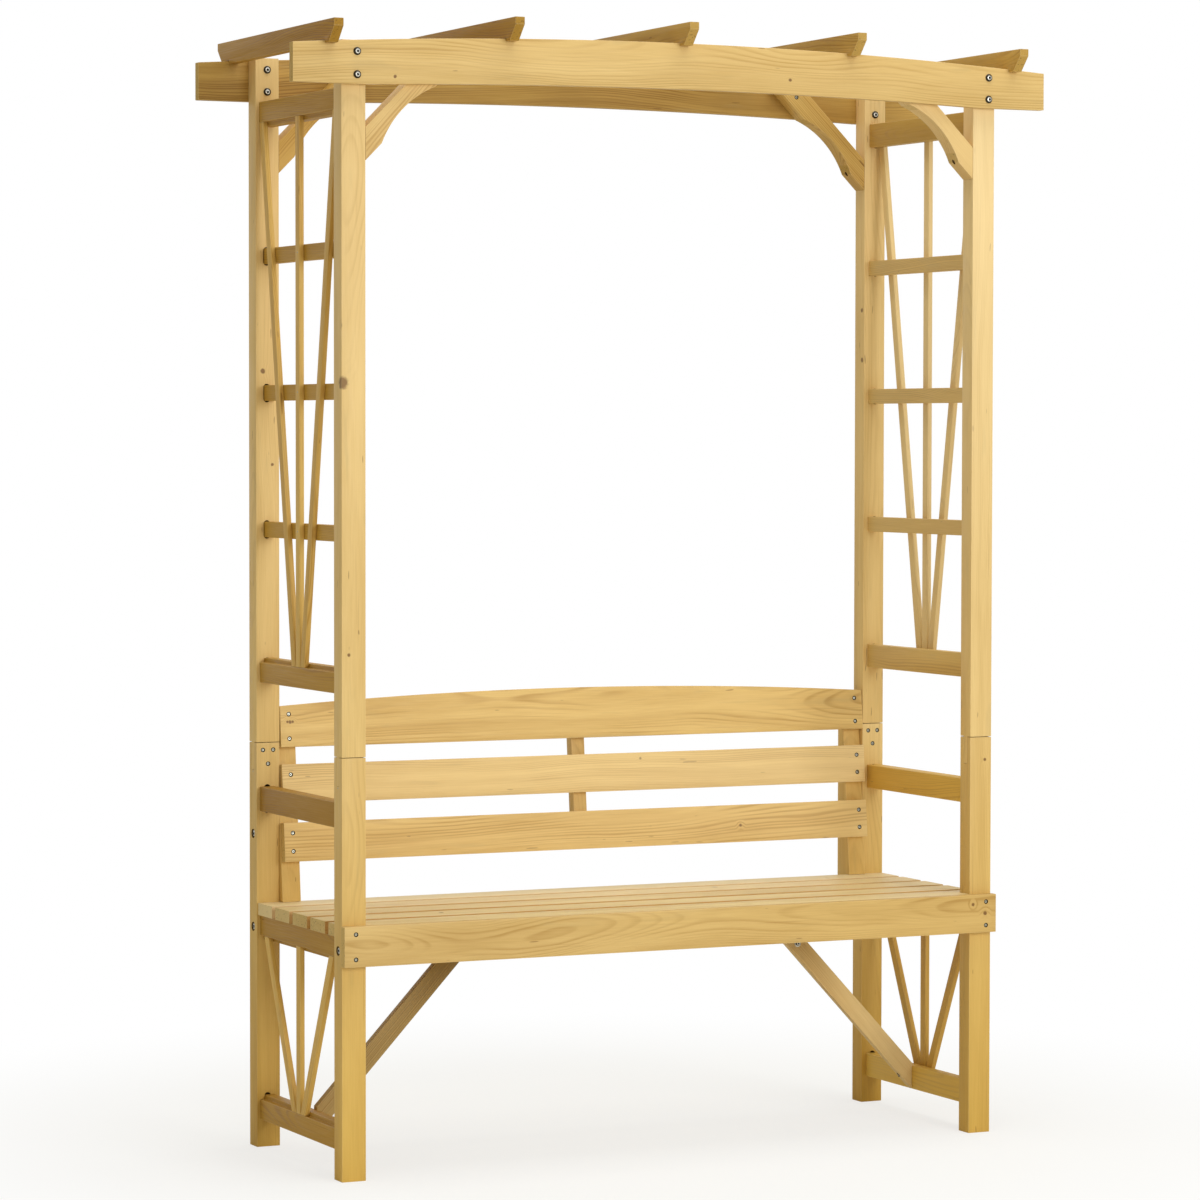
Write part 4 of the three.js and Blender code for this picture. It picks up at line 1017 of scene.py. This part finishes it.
brace_pine = timber("brace_pine", stain(227, 198, 138), stain(194, 158, 98), ring=3.0, figure=0.6)
dull_shaded_pine = timber("dull_shaded_brace_pine", stain(196, 167, 108), stain(158, 127, 70), ring=3.0, figure=0.6)
# The tones deepen toward each brace's head as painted shade under the seat, and the left brace's duller
# wood is partly painted shade too
brace_looks = {"left": (dull_shaded_pine, (-0.1, -0.85)), "right": (brace_pine, (0.2, -0.2))}
bolt_x, bolt_height = BRACE_BOLTS["right"]
brace_slope = (bolt_height - BRACE_FOOT_HEIGHT) / (BRACE_FOOT_X - bolt_x)
brace_rise = BRACE_WIDTH / 2 * math.hypot(1, brace_slope)
for side_name, side in SIDES:
    front = BRACE_FACES[side_name]
    heads = [
        BRACE_FOOT_X - (BEARER_TOP - BRACE_FOOT_HEIGHT - rise) / brace_slope
        for rise in (brace_rise, -brace_rise)
    ]
    brace = saw(f"{side_name}_seat_brace", [
        (side * BRACE_FOOT_X, BRACE_FOOT_HEIGHT - brace_rise),
        (side * BRACE_FOOT_X, BRACE_FOOT_HEIGHT + brace_rise),
        (side * heads[0], BEARER_TOP), (side * heads[1], BEARER_TOP),
    ], "Y", front, front + BRACE_THICKNESS, BRACE_EASE)
    cutters = bmesh.new()
    hole_x = side * (FOOT_SCREW_X - FOOT_HOLE_LENGTH)
    hole = (hole_x, front + BRACE_THICKNESS / 2, FOOT_SCREW_HEIGHT)
    add_pin(cutters, hole, (side, 0, 0), SCREW_HOLE, FOOT_HOLE_LENGTH)
    joinery(brace, cutters)
    pine, tones = brace_looks[side_name]
    way = (-side, 0, brace_slope)
    finish_timber(brace, way, pine, f"{side_name}_brace", BRACE_HEART, tones)


# Backrest
# Three leaning slats are screwed to a wedge-shaped upright at each end, which stands on the rear
# seat slat and heels down behind it, and to a short batten in the middle. The top slat is arched.

RECLINE = math.radians(5.4)
INTO_BACK = Vector((0, math.cos(RECLINE), -math.sin(RECLINE)))
BACK_FRONT_Y, BACK_FRONT_HEIGHT = 178, 666
BACK_SLAT_HALF = 607
BACK_SLAT_THICKNESS = 17
BACK_SLAT_EASE = 1.1
BACK_SCREW_X = 590.2
UPRIGHT_WIDTH = 36
UPRIGHT_REAR = 223
UPRIGHT_TOP = 800
UPRIGHT_EASE = 1.2
UPRIGHT_HEART, UPRIGHT_TONES, UPRIGHT_HONEYS = (64, 54), (-0.12, -0.1), (0.45, 0.45)
SEAT_UNDERSIDE = SEAT_TOP - SLAT_THICKNESS
BATTEN_WIDTH, BATTEN_THICKNESS = 27, 21.5
BATTEN_FOOT = 536
BATTEN_EASE = 1.0
BATTEN_HEART, BATTEN_TONES, BATTEN_HONEYS = (60, 50), (-0.25, -0.2), (0.2, 0.2)

# Each back slat by its foot, width and crest, and how far in from its edges its screws are
BACK_SLATS = (
    ("lower", 524, 71.5, 0, 19), ("middle", 630.5, 71.5, 0, 19), ("upper", 733, 75.5, 20, 15.3),
)


def back_front(z):
    """How far back the front plane of the backrest lies at a height."""
    return BACK_FRONT_Y + (z - BACK_FRONT_HEIGHT) * math.tan(RECLINE)


def lean_back(foot):
    """Takes a piece drawn upright at the origin to the front plane, its foot at a height."""
    place = Vector((0, back_front(foot), foot)) * METRE
    return Matrix.Translation(place) @ Matrix.Rotation(-RECLINE, 4, "X")


def back_screw_places(foot, width, inset):
    """Where the screws of a back slat meet its front plane: two at each end."""
    places = []
    for _, side in SIDES:
        for height in (inset, width - inset):
            z = foot + height * math.cos(RECLINE)
            places.append(Vector((side * BACK_SCREW_X, back_front(z), z)))
    return places


back_pine = timber(
    "back_pine", stain(235, 202, 133), stain(197, 158, 89), ring=4.6, figure=0.65, streaks=0.9,
    knots=[
        ((-593, 188, 779), 3.4), ((-588, 188, 778.5), 4.4), ((-583, 188, 779), 3.4), ((122, 182, 690), 4),
        ((330, 168, 556), 4),
    ],
)
back_looks = {
    "lower": ((24, 40), (0.0, 0.14)), "middle": ((-34, -66), (0.16, 0.3)),
    "upper": ((30, 16), (0.02, -0.18)),
}
for slat_name, foot, width, crest, inset in BACK_SLATS:
    top_edge = [(-BACK_SLAT_HALF, width), (BACK_SLAT_HALF, width)]
    if crest:
        top_edge = arc(BACK_SLAT_HALF, width, crest, CROWN_STEPS)
    outline = [(-BACK_SLAT_HALF, 0), (BACK_SLAT_HALF, 0), *reversed(top_edge)]
    slat = saw(
        f"{slat_name}_back_board", outline, "Y", 0, BACK_SLAT_THICKNESS, BACK_SLAT_EASE, lean_back(foot),
    )
    cutters = bmesh.new()
    for place in back_screw_places(foot, width, inset):
        start = place - INTO_BACK * CUT_PAST
        depth = CUT_PAST + SCREW_HOLE_DEPTH
        add_pin(cutters, start, INTO_BACK, SCREW_HOLE, depth, SHOWN_HOLE_SIDES)
    joinery(slat, cutters)
    heart, tones = back_looks[slat_name]
    finish_timber(slat, ALONG_X, back_pine, f"{slat_name}_back_slat", heart, tones)

rear_gap = BACK_SLAT_THICKNESS / math.cos(RECLINE) + HAIRLINE
for side_name, side in SIDES:
    upright = saw(f"{side_name}_back_post", [
        (back_front(SEAT_TOP) + rear_gap, SEAT_TOP + HAIRLINE), (POST_INNER_Y, SEAT_TOP + HAIRLINE),
        (POST_INNER_Y, SEAT_UNDERSIDE), (UPRIGHT_REAR, SEAT_UNDERSIDE), (UPRIGHT_REAR, UPRIGHT_TOP),
        (back_front(UPRIGHT_TOP) + rear_gap, UPRIGHT_TOP),
    ], "X", side * BACK_SCREW_X - UPRIGHT_WIDTH / 2, side * BACK_SCREW_X + UPRIGHT_WIDTH / 2, UPRIGHT_EASE)
    node = f"{side_name}_back_upright"
    finish_timber(upright, UP, post_pine, node, UPRIGHT_HEART, UPRIGHT_TONES, UPRIGHT_HONEYS)

batten_front = BACK_SLAT_THICKNESS + HAIRLINE
batten_rear = batten_front + BATTEN_THICKNESS
reach = (UPRIGHT_TOP - BATTEN_FOOT) / math.cos(RECLINE)
outline = rectangle(-BATTEN_WIDTH / 2, BATTEN_WIDTH / 2, 0, reach)
lean = lean_back(BATTEN_FOOT)
batten = saw("middle_batten", outline, "Y", batten_front, batten_rear, BATTEN_EASE, lean)
node = "middle_back_batten"
finish_timber(batten, UP, post_pine, node, BATTEN_HEART, BATTEN_TONES, BATTEN_HONEYS)


# Screws and bolts
# Zinc-plated steel: countersunk cross-slot screws, domed bolts with sleeve nuts through beams and
# posts, socket bolts in counterbores, a washered bolt through each brace, and small nails and pins.

SCREW_SINK = 0.9
HEAD_PROUD = 0.1
POST_BOLT_SINK = 1.7
BEAM_BOLT_HEIGHTS = (1927, 1967)
POST_PIN_HEIGHT = 689
DOME_RIM = 1.0
WASHER_THICKNESS = 1.5
BRACE_BOLT_HEAD = 2.5
HEAD_SIDES, HEAD_RINGS, SHANK_SIDES, HEXAGON_SIDES = 28, 5, 14, 6
SLOT_PER_RADIUS = 0.8
CUT_ABOVE = 2
SPIN_SEED = 12
STEEL_CREASE_ANGLE = math.radians(32)
SCUFFED, DARK_RIM_REFLECTION, SLOT_SHADE = stain(206, 204, 196), stain(44, 36, 20), stain(24, 20, 16)


def zinc_plate(name, bright, dull):
    """Plating, cloudy from handling, with a painted dark reflection on the rim and painted shade, nearly
    black, down in the driver slots.
    """
    material = bpy.data.materials.new(name)
    material.use_nodes = True
    tree = material.node_tree
    shader = tree.nodes["Principled BSDF"]
    start = Figure(tree)
    slot, rim = start.attribute("slot"), start.attribute("rim")
    place = start.node("ShaderNodeTexCoord", {}, {}, "Object")
    cloud = place.noise((420.0, 420.0, 420.0), detail=3.0)
    scuff = place.noise((1500.0, 1500.0, 300.0), detail=2.0).between(0.55, 0.75)
    colour = cloud.tint(bright, dull)
    colour = (scuff * 0.3).tint(colour, SCUFFED)
    # A painted dark reflection on the rim
    colour = rim.tint(colour, DARK_RIM_REFLECTION)
    # Painted shade, nearly black, down in the driver slots
    colour = slot.tint(colour, SLOT_SHADE)
    tree.links.new(colour.socket, shader.inputs["Base Color"])
    rough = cloud * 0.25 + slot * 0.3 + 0.22
    tree.links.new(rough.socket, shader.inputs["Roughness"])
    metal = (1 - rim) * (1 - slot) * 0.9
    tree.links.new(metal.socket, shader.inputs["Metallic"])
    shader.inputs["Specular IOR Level"].default_value = 0.2
    return material


def fastener_layout(name, drive):
    """A layout that sets one turned head with a driver slot and a shank on every point."""
    made = Layout(name, {
        "Head radius": "size", "Foot radius": "size", "Head depth": "size", "Dome": "size",
        "Shank radius": "size", "Shank length": "size", "Drive radius": "size",
        "Drive depth": "size", "Rim start": "size", "Steel": "finish",
    })
    size = made.source
    on_faces = {"data_type": "FLOAT", "domain": "FACE"}
    head = made.node("GeometryNodeMeshCone", {}, {
        0: HEAD_SIDES, 1: 1, 2: HEAD_RINGS, 3: size["Head radius"], 4: size["Foot radius"],
        5: size["Head depth"],
    })
    place = made.node("GeometryNodeInputPosition", {}, {})
    flat = made.node("ShaderNodeVectorMath", {"operation": "MULTIPLY"}, {0: place, 1: (1.0, 1.0, 0.0)})
    out = made.node("ShaderNodeVectorMath", {"operation": "LENGTH"}, {0: flat}, output=1)
    share = made.math("DIVIDE", out, size["Head radius"])
    fall = made.math("SUBTRACT", 1.0, made.math("POWER", share, 2.0))
    bulge = made.math("SQRT", made.math("MAXIMUM", fall, 0.0))
    rim = made.node("FunctionNodeCompare", {"operation": "GREATER_THAN"}, {0: out, 1: size["Rim start"]})
    head = made.node("GeometryNodeStoreNamedAttribute", on_faces, {0: head, 2: "rim", 3: rim})
    height = made.node("ShaderNodeSeparateXYZ", {}, {0: place}, output=2)
    half_depth = made.math("MULTIPLY", size["Head depth"], 0.5)
    on_top = made.node("FunctionNodeCompare", {"operation": "GREATER_THAN"}, {0: height, 1: half_depth})
    head = made.node("GeometryNodeSetPosition", {}, {
        0: head, 1: on_top, 3: made.point(0.0, 0.0, made.math("MULTIPLY", bulge, size["Dome"])),
    })
    sink = made.point(0.0, 0.0, made.math("MULTIPLY", size["Head depth"], -1.0))
    head = made.node("GeometryNodeTransform", {}, {0: head, 1: sink})

    # The driver's recess is cut from above the dome down to its depth
    above = CUT_ABOVE * METRE
    cut_depth = made.math("ADD", size["Drive depth"], above)
    cut_middle = made.math("SUBTRACT", above / 2, made.math("MULTIPLY", size["Drive depth"], 0.5))
    lift = made.point(0.0, 0.0, made.math("ADD", size["Dome"], cut_middle))
    if drive == "hexagon":
        shape = {0: HEXAGON_SIDES, 3: size["Drive radius"], 4: cut_depth}
        keys = [made.node("GeometryNodeMeshCylinder", {}, shape)]
    else:
        long_side = made.math("MULTIPLY", size["Drive radius"], 2.0)
        thin_side = made.math("MULTIPLY", size["Drive radius"], SLOT_PER_RADIUS)
        keys = [
            made.node("GeometryNodeMeshCube", {}, {0: made.point(long_side, thin_side, cut_depth)}),
            made.node("GeometryNodeMeshCube", {}, {0: made.point(thin_side, long_side, cut_depth)}),
        ]
    cutting = {"operation": "DIFFERENCE", "solver": "EXACT"}
    for key in keys:
        key = made.node("GeometryNodeTransform", {}, {0: key, 1: lift})
        key = made.node("GeometryNodeStoreNamedAttribute", on_faces, {0: key, 2: "slot", 3: 1.0})
        head = made.node("GeometryNodeMeshBoolean", cutting, {0: head, 1: key})

    shape = {0: SHANK_SIDES, 3: size["Shank radius"], 4: size["Shank length"]}
    shank = made.node("GeometryNodeMeshCylinder", {}, shape)
    shank_drop = made.math("ADD", size["Head depth"], made.math("MULTIPLY", size["Shank length"], 0.5))
    sink = made.point(0.0, 0.0, made.math("MULTIPLY", shank_drop, -1.0))
    shank = made.node("GeometryNodeTransform", {}, {0: shank, 1: sink})
    whole = made.node("GeometryNodeJoinGeometry", {}, {0: [head, shank]})

    # Each one faces its own way, and is turned on its axis by chance
    aim = made.node("GeometryNodeInputNamedAttribute", {"data_type": "FLOAT_VECTOR"}, {0: "aim"})
    facing = made.node("FunctionNodeAlignRotationToVector", {"axis": "Z"}, {2: aim})
    limits = {2: 0.0, 3: math.pi, 8: SPIN_SEED}
    chance = made.node("FunctionNodeRandomValue", {"data_type": "FLOAT"}, limits, output=1)
    spin = made.node("FunctionNodeAxisAngleToRotation", {}, {0: (0.0, 0.0, 1.0), 1: chance})
    facing = made.node("FunctionNodeRotateRotation", {"rotation_space": "LOCAL"}, {0: facing, 1: spin})
    made.close(
        made.node("GeometryNodeInstanceOnPoints", {}, {0: size["Points"], 2: whole, 5: facing}),
        size["Steel"],
    )
    return made


def fit_hardware(name, layout, steel, sizes, fixings):
    """Sets the same fastener at a list of (place, way it faces), and puts them on the frame."""
    values = {label: value * METRE for label, value in sizes.items()}
    values["Steel"] = steel
    places, ways = zip(*fixings)
    made = layout.make(name, values, places, ways)
    for face in made.data.polygons:
        face.use_smooth = True
    made.data.set_sharp_from_angle(angle=STEEL_CREASE_ANGLE)
    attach(made, "root")


def raised(fixings, rise):
    """The same fixings, moved out of the surface along the way that each one faces."""
    return [(Vector(place) + Vector(way) * rise, way) for place, way in fixings]


bolt_zinc = zinc_plate("bolt_zinc", stain(214, 212, 202), stain(168, 166, 156))
screw_zinc = zinc_plate("screw_zinc", stain(206, 206, 192), stain(158, 158, 142))
cross_drive = fastener_layout("cross_slot_fastener", "cross")
hexagon_drive = fastener_layout("hexagon_socket_fastener", "hexagon")

screws = {name: [] for name in (
    "apron_screws", "post_joint_screws", "bracket_toe_screws", "bracket_face_screws",
    "brace_foot_screws", "backrest_screws", "batten_screws", "rafter_screws", "seat_screws",
)}
beam_bolts = []
sleeve_nuts = []
post_bolts = []
brace_bolts = []
lath_nails = []
post_pins = []
for side_name, side in SIDES:
    outward, inward = (side, 0, 0), (-side, 0, 0)
    for height in APRON_SCREW_HEIGHTS:
        place = (side * APRON_SCREW_X, APRON_FRONT + SCREW_SINK, height)
        screws["apron_screws"].append((place, (0, -1, 0)))
    for end_name, end in ENDS:
        to_middle = (0, -end, 0)
        screw_y = end * (POST_INNER_Y + SCREW_SINK)
        for across, drop in SPLICE_SCREWS:
            place = (side * POST_MIDDLE_X + across, screw_y, JOINT_HEIGHT - drop)
            screws["post_joint_screws"].append((place, to_middle))
        place = (side * (POST_INNER_X - TOE_SCREW_START), end * POST_MIDDLE_Y, TOE_SCREW_HEIGHT)
        screws["bracket_toe_screws"].append((place, inward))
        place = (side * (POST_INNER_X - FACE_SCREW_INWARD), screw_y, FACE_SCREW_HEIGHT)
        screws["bracket_face_screws"].append((place, to_middle))
        for height in BEAM_BOLT_HEIGHTS:
            beam_bolts.append(((side * POST_MIDDLE_X, end * BEAM_OUTER_Y, height), (0, end, 0)))
            sleeve_nuts.append(((side * POST_MIDDLE_X, end * POST_INNER_Y, height), to_middle))
        for height in POST_BOLT_HEIGHTS[end_name]:
            place = (side * (POST_OUTER_X - POST_BOLT_SINK), end * POST_MIDDLE_Y, height)
            post_bolts.append((place, outward))
        place = (side * (POST_OUTER_X + HEAD_PROUD), end * POST_MIDDLE_Y, POST_PIN_HEIGHT)
        post_pins.append((place, outward))
    for foot in RUNG_FEET:
        place = (side * (RAIL_OUTER_X + HEAD_PROUD), 0, foot + RUNG_DEPTH / 2)
        lath_nails.append((place, outward))
    front = BRACE_FACES[side_name]
    bolt_x, bolt_height = BRACE_BOLTS[side_name]
    brace_bolts.append(((side * bolt_x, front, bolt_height), (0, -1, 0)))
    place = (side * FOOT_SCREW_X, front + BRACE_THICKNESS / 2, FOOT_SCREW_HEIGHT)
    screws["brace_foot_screws"].append((place, inward))
for _, foot, width, _, inset in BACK_SLATS:
    for place in back_screw_places(foot, width, inset):
        screws["backrest_screws"].append((place + INTO_BACK * SCREW_SINK, -INTO_BACK))
    z = foot + width / 2 * math.cos(RECLINE)
    place = Vector((0, back_front(z), z)) + INTO_BACK * (batten_rear - SCREW_SINK)
    screws["batten_screws"].append((place, INTO_BACK))
for x in RAFTER_PLACES:
    for _, end in ENDS:
        place = (x, end * (BEAM_INNER_Y + BEAM_OUTER_Y) / 2, rafter_top(x) + HEAD_PROUD)
        screws["rafter_screws"].append((place, UP))
for middle in slat_middles:
    for x in (-END_BEARER_X, -BRACE_BEARER_X, BRACE_BEARER_X, END_BEARER_X):
        screws["seat_screws"].append(((x, middle, BEARER_FOOT - HEAD_PROUD), (0, 0, -1)))

screw_sizes = {
    "Head radius": 3.75, "Foot radius": 2.1, "Head depth": 3, "Dome": 0.0, "Shank radius": 2.1,
    "Shank length": 22, "Drive radius": 1.3, "Drive depth": 1.8, "Rim start": 2.5,
}
for name, fixings in screws.items():
    fit_hardware(name, cross_drive, screw_zinc, screw_sizes, fixings)
fit_hardware("beam_bolts", hexagon_drive, bolt_zinc, {
    "Head radius": 7, "Foot radius": 7, "Head depth": DOME_RIM, "Dome": 3.0, "Shank radius": 3,
    "Shank length": 40, "Drive radius": 2.6, "Drive depth": 2.2, "Rim start": 4.6,
}, raised(beam_bolts, DOME_RIM))
fit_hardware("beam_sleeve_nuts", hexagon_drive, bolt_zinc, {
    "Head radius": 7, "Foot radius": 7, "Head depth": DOME_RIM, "Dome": 2.5, "Shank radius": 4.4,
    "Shank length": 16, "Drive radius": 2.6, "Drive depth": 2.0, "Rim start": 4.6,
}, raised(sleeve_nuts, DOME_RIM))
fit_hardware("post_bolts", hexagon_drive, bolt_zinc, {
    "Head radius": 6.5, "Foot radius": 6.5, "Head depth": 5, "Dome": 0.4, "Shank radius": 4,
    "Shank length": 50, "Drive radius": 3.2, "Drive depth": 3.4, "Rim start": 5.4,
}, post_bolts)
fit_hardware("brace_washers", hexagon_drive, bolt_zinc, {
    "Head radius": 6.25, "Foot radius": 6.25, "Head depth": WASHER_THICKNESS, "Dome": 0.0,
    "Shank radius": 2.5, "Shank length": 28, "Drive radius": 1.4, "Drive depth": 0.4, "Rim start": 9,
}, raised(brace_bolts, WASHER_THICKNESS))
fit_hardware("brace_bolts", hexagon_drive, bolt_zinc, {
    "Head radius": 4, "Foot radius": 4, "Head depth": BRACE_BOLT_HEAD, "Dome": 1.0,
    "Shank radius": 2.4, "Shank length": 2, "Drive radius": 1.8, "Drive depth": 1.6, "Rim start": 3.2,
}, raised(brace_bolts, WASHER_THICKNESS + BRACE_BOLT_HEAD))
nail_sizes = {
    "Head radius": 1.5, "Foot radius": 1.5, "Head depth": 0.8, "Dome": 0.1, "Shank radius": 1.2,
    "Shank length": 8, "Drive radius": 0.7, "Drive depth": 0.2, "Rim start": 9,
}
fit_hardware("lath_nails", hexagon_drive, screw_zinc, nail_sizes, lath_nails)
fit_hardware("post_pins", hexagon_drive, screw_zinc, nail_sizes, post_pins)


# Camera
# The view is from well back and to the left of the seat, 1.3 m above the ground, through a long
# lens tipped slightly down. Places and distances from here on are in metres.

YAW, PITCH, ROLL = math.radians(25.5045), math.radians(2.1875), math.radians(0.09)
EYE = Vector((-3.46415, -7.17399, 1.31039))
FOCAL_PIXELS, FRAME_PIXELS = 4311.72, 1200
SENSOR_WIDTH = 36
SHIFT_ACROSS, SHIFT_UP = -0.0032, -0.0028
FARTHEST = 60

forward = Vector((
    math.sin(YAW) * math.cos(PITCH), math.cos(YAW) * math.cos(PITCH), -math.sin(PITCH),
))
level = Vector((math.cos(YAW), -math.sin(YAW), 0))
above = level.cross(forward)
right = level * math.cos(ROLL) + above * math.sin(ROLL)
up = above * math.cos(ROLL) - level * math.sin(ROLL)
view = bpy.data.cameras.new("photographer")
view.sensor_width = SENSOR_WIDTH
view.lens = FOCAL_PIXELS / FRAME_PIXELS * SENSOR_WIDTH
view.shift_x, view.shift_y = SHIFT_ACROSS, SHIFT_UP
view.clip_end = FARTHEST
photographer = bpy.data.objects.new("photographer", view)
photographer.matrix_world = Matrix((
    (right.x, up.x, -forward.x, EYE.x), (right.y, up.y, -forward.y, EYE.y),
    (right.z, up.z, -forward.z, EYE.z), (0, 0, 0, 1),
))
bpy.context.scene.collection.objects.link(photographer)
bpy.context.scene.camera = photographer


# Studio
# A pale floor that fades into a white backdrop, a broad soft lamp in front and to the right, a
# soft panel overhead, and an even warm surround that the camera and polished metal see as white.

FLOOR_HALF = 9
FLOOR_PALE = stain(246, 246, 244)
FADE_START, FADE_END = 0.6, 1.8
NEAR_WHITE = 0.7
SURROUND_WARM, SURROUND_LEVEL = (1.0, 0.94, 0.7, 1.0), 0.45

floor_mesh = bpy.data.meshes.new("studio_floor")
corners = [(x, y, 0) for x, y in rectangle(-FLOOR_HALF, FLOOR_HALF, -FLOOR_HALF, FLOOR_HALF)]
floor_mesh.from_pydata(corners, [], [(0, 1, 2, 3)])
floor = bpy.data.objects.new("studio_floor", floor_mesh)
bpy.context.scene.collection.objects.link(floor)
paper = bpy.data.materials.new("studio_paper")
paper.use_nodes = True
shader = paper.node_tree.nodes["Principled BSDF"]
shader.inputs["Base Color"].default_value = FLOOR_PALE
shader.inputs["Roughness"].default_value = 0.9
shader.inputs["Specular IOR Level"].default_value = 0.1

# The camera sees the floor as partly plain white, so that its shadow is faint and fades with distance
start = Figure(paper.node_tree)
place = start.node("ShaderNodeTexCoord", {}, {}, "Object")
far = place.vector("LENGTH", place).between(FADE_START, FADE_END)
seen = start.node("ShaderNodeLightPath", {}, {}, "Is Camera Ray")
fade = (far * (1 - NEAR_WHITE) + NEAR_WHITE) * seen
white = start.node("ShaderNodeEmission", {}, {"Color": PLAIN, "Strength": 1.0})
lit = Figure(paper.node_tree, shader)
mixed = start.node("ShaderNodeMixShader", {}, {0: fade, 1: lit, 2: white})
surface = paper.node_tree.nodes["Material Output"].inputs["Surface"]
paper.node_tree.links.new(mixed.socket, surface)
floor_mesh.materials.append(paper)
floor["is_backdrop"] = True

for lamp_name, width, height, energy, place, target in (
    ("window", 2.8, 2.0, 132, (1.2, -5.6, 2.3), (0, 0, 1.1)),
    ("skylight", 3.0, 3.0, 88, (0.3, -0.4, 4.6), (0.3, -0.4, 0)),
):
    lamp = bpy.data.lights.new(lamp_name, "AREA")
    lamp.shape = "RECTANGLE"
    lamp.size, lamp.size_y = width, height
    lamp.energy = energy
    stand = bpy.data.objects.new(lamp_name, lamp)
    stand.location = place
    stand.rotation_euler = (Vector(target) - Vector(place)).to_track_quat("-Z", "Y").to_euler()
    bpy.context.scene.collection.objects.link(stand)

world = bpy.data.worlds.new("studio_surround")
world.use_nodes = True
bpy.context.scene.world = world
start = Figure(world.node_tree)
seen = start.node("ShaderNodeLightPath", {}, {}, "Is Camera Ray")
shown = seen.math("MAXIMUM", seen, seen.part("Is Glossy Ray"))
shown = shown.math("MAXIMUM", shown, seen.part("Is Transmission Ray"))
surround = world.node_tree.nodes["Background"]
surround.inputs["Color"].default_value = SURROUND_WARM
surround.inputs["Strength"].default_value = SURROUND_LEVEL
backdrop = start.node("ShaderNodeBackground", {}, {"Color": PLAIN, "Strength": 1.0})
warm = Figure(world.node_tree, surround)
chosen = start.node("ShaderNodeMixShader", {}, {0: shown, 1: warm, 2: backdrop})
surface = world.node_tree.nodes["World Output"].inputs["Surface"]
world.node_tree.links.new(chosen.socket, surface)

bpy.context.scene.view_settings.view_transform = "Standard"

low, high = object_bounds()
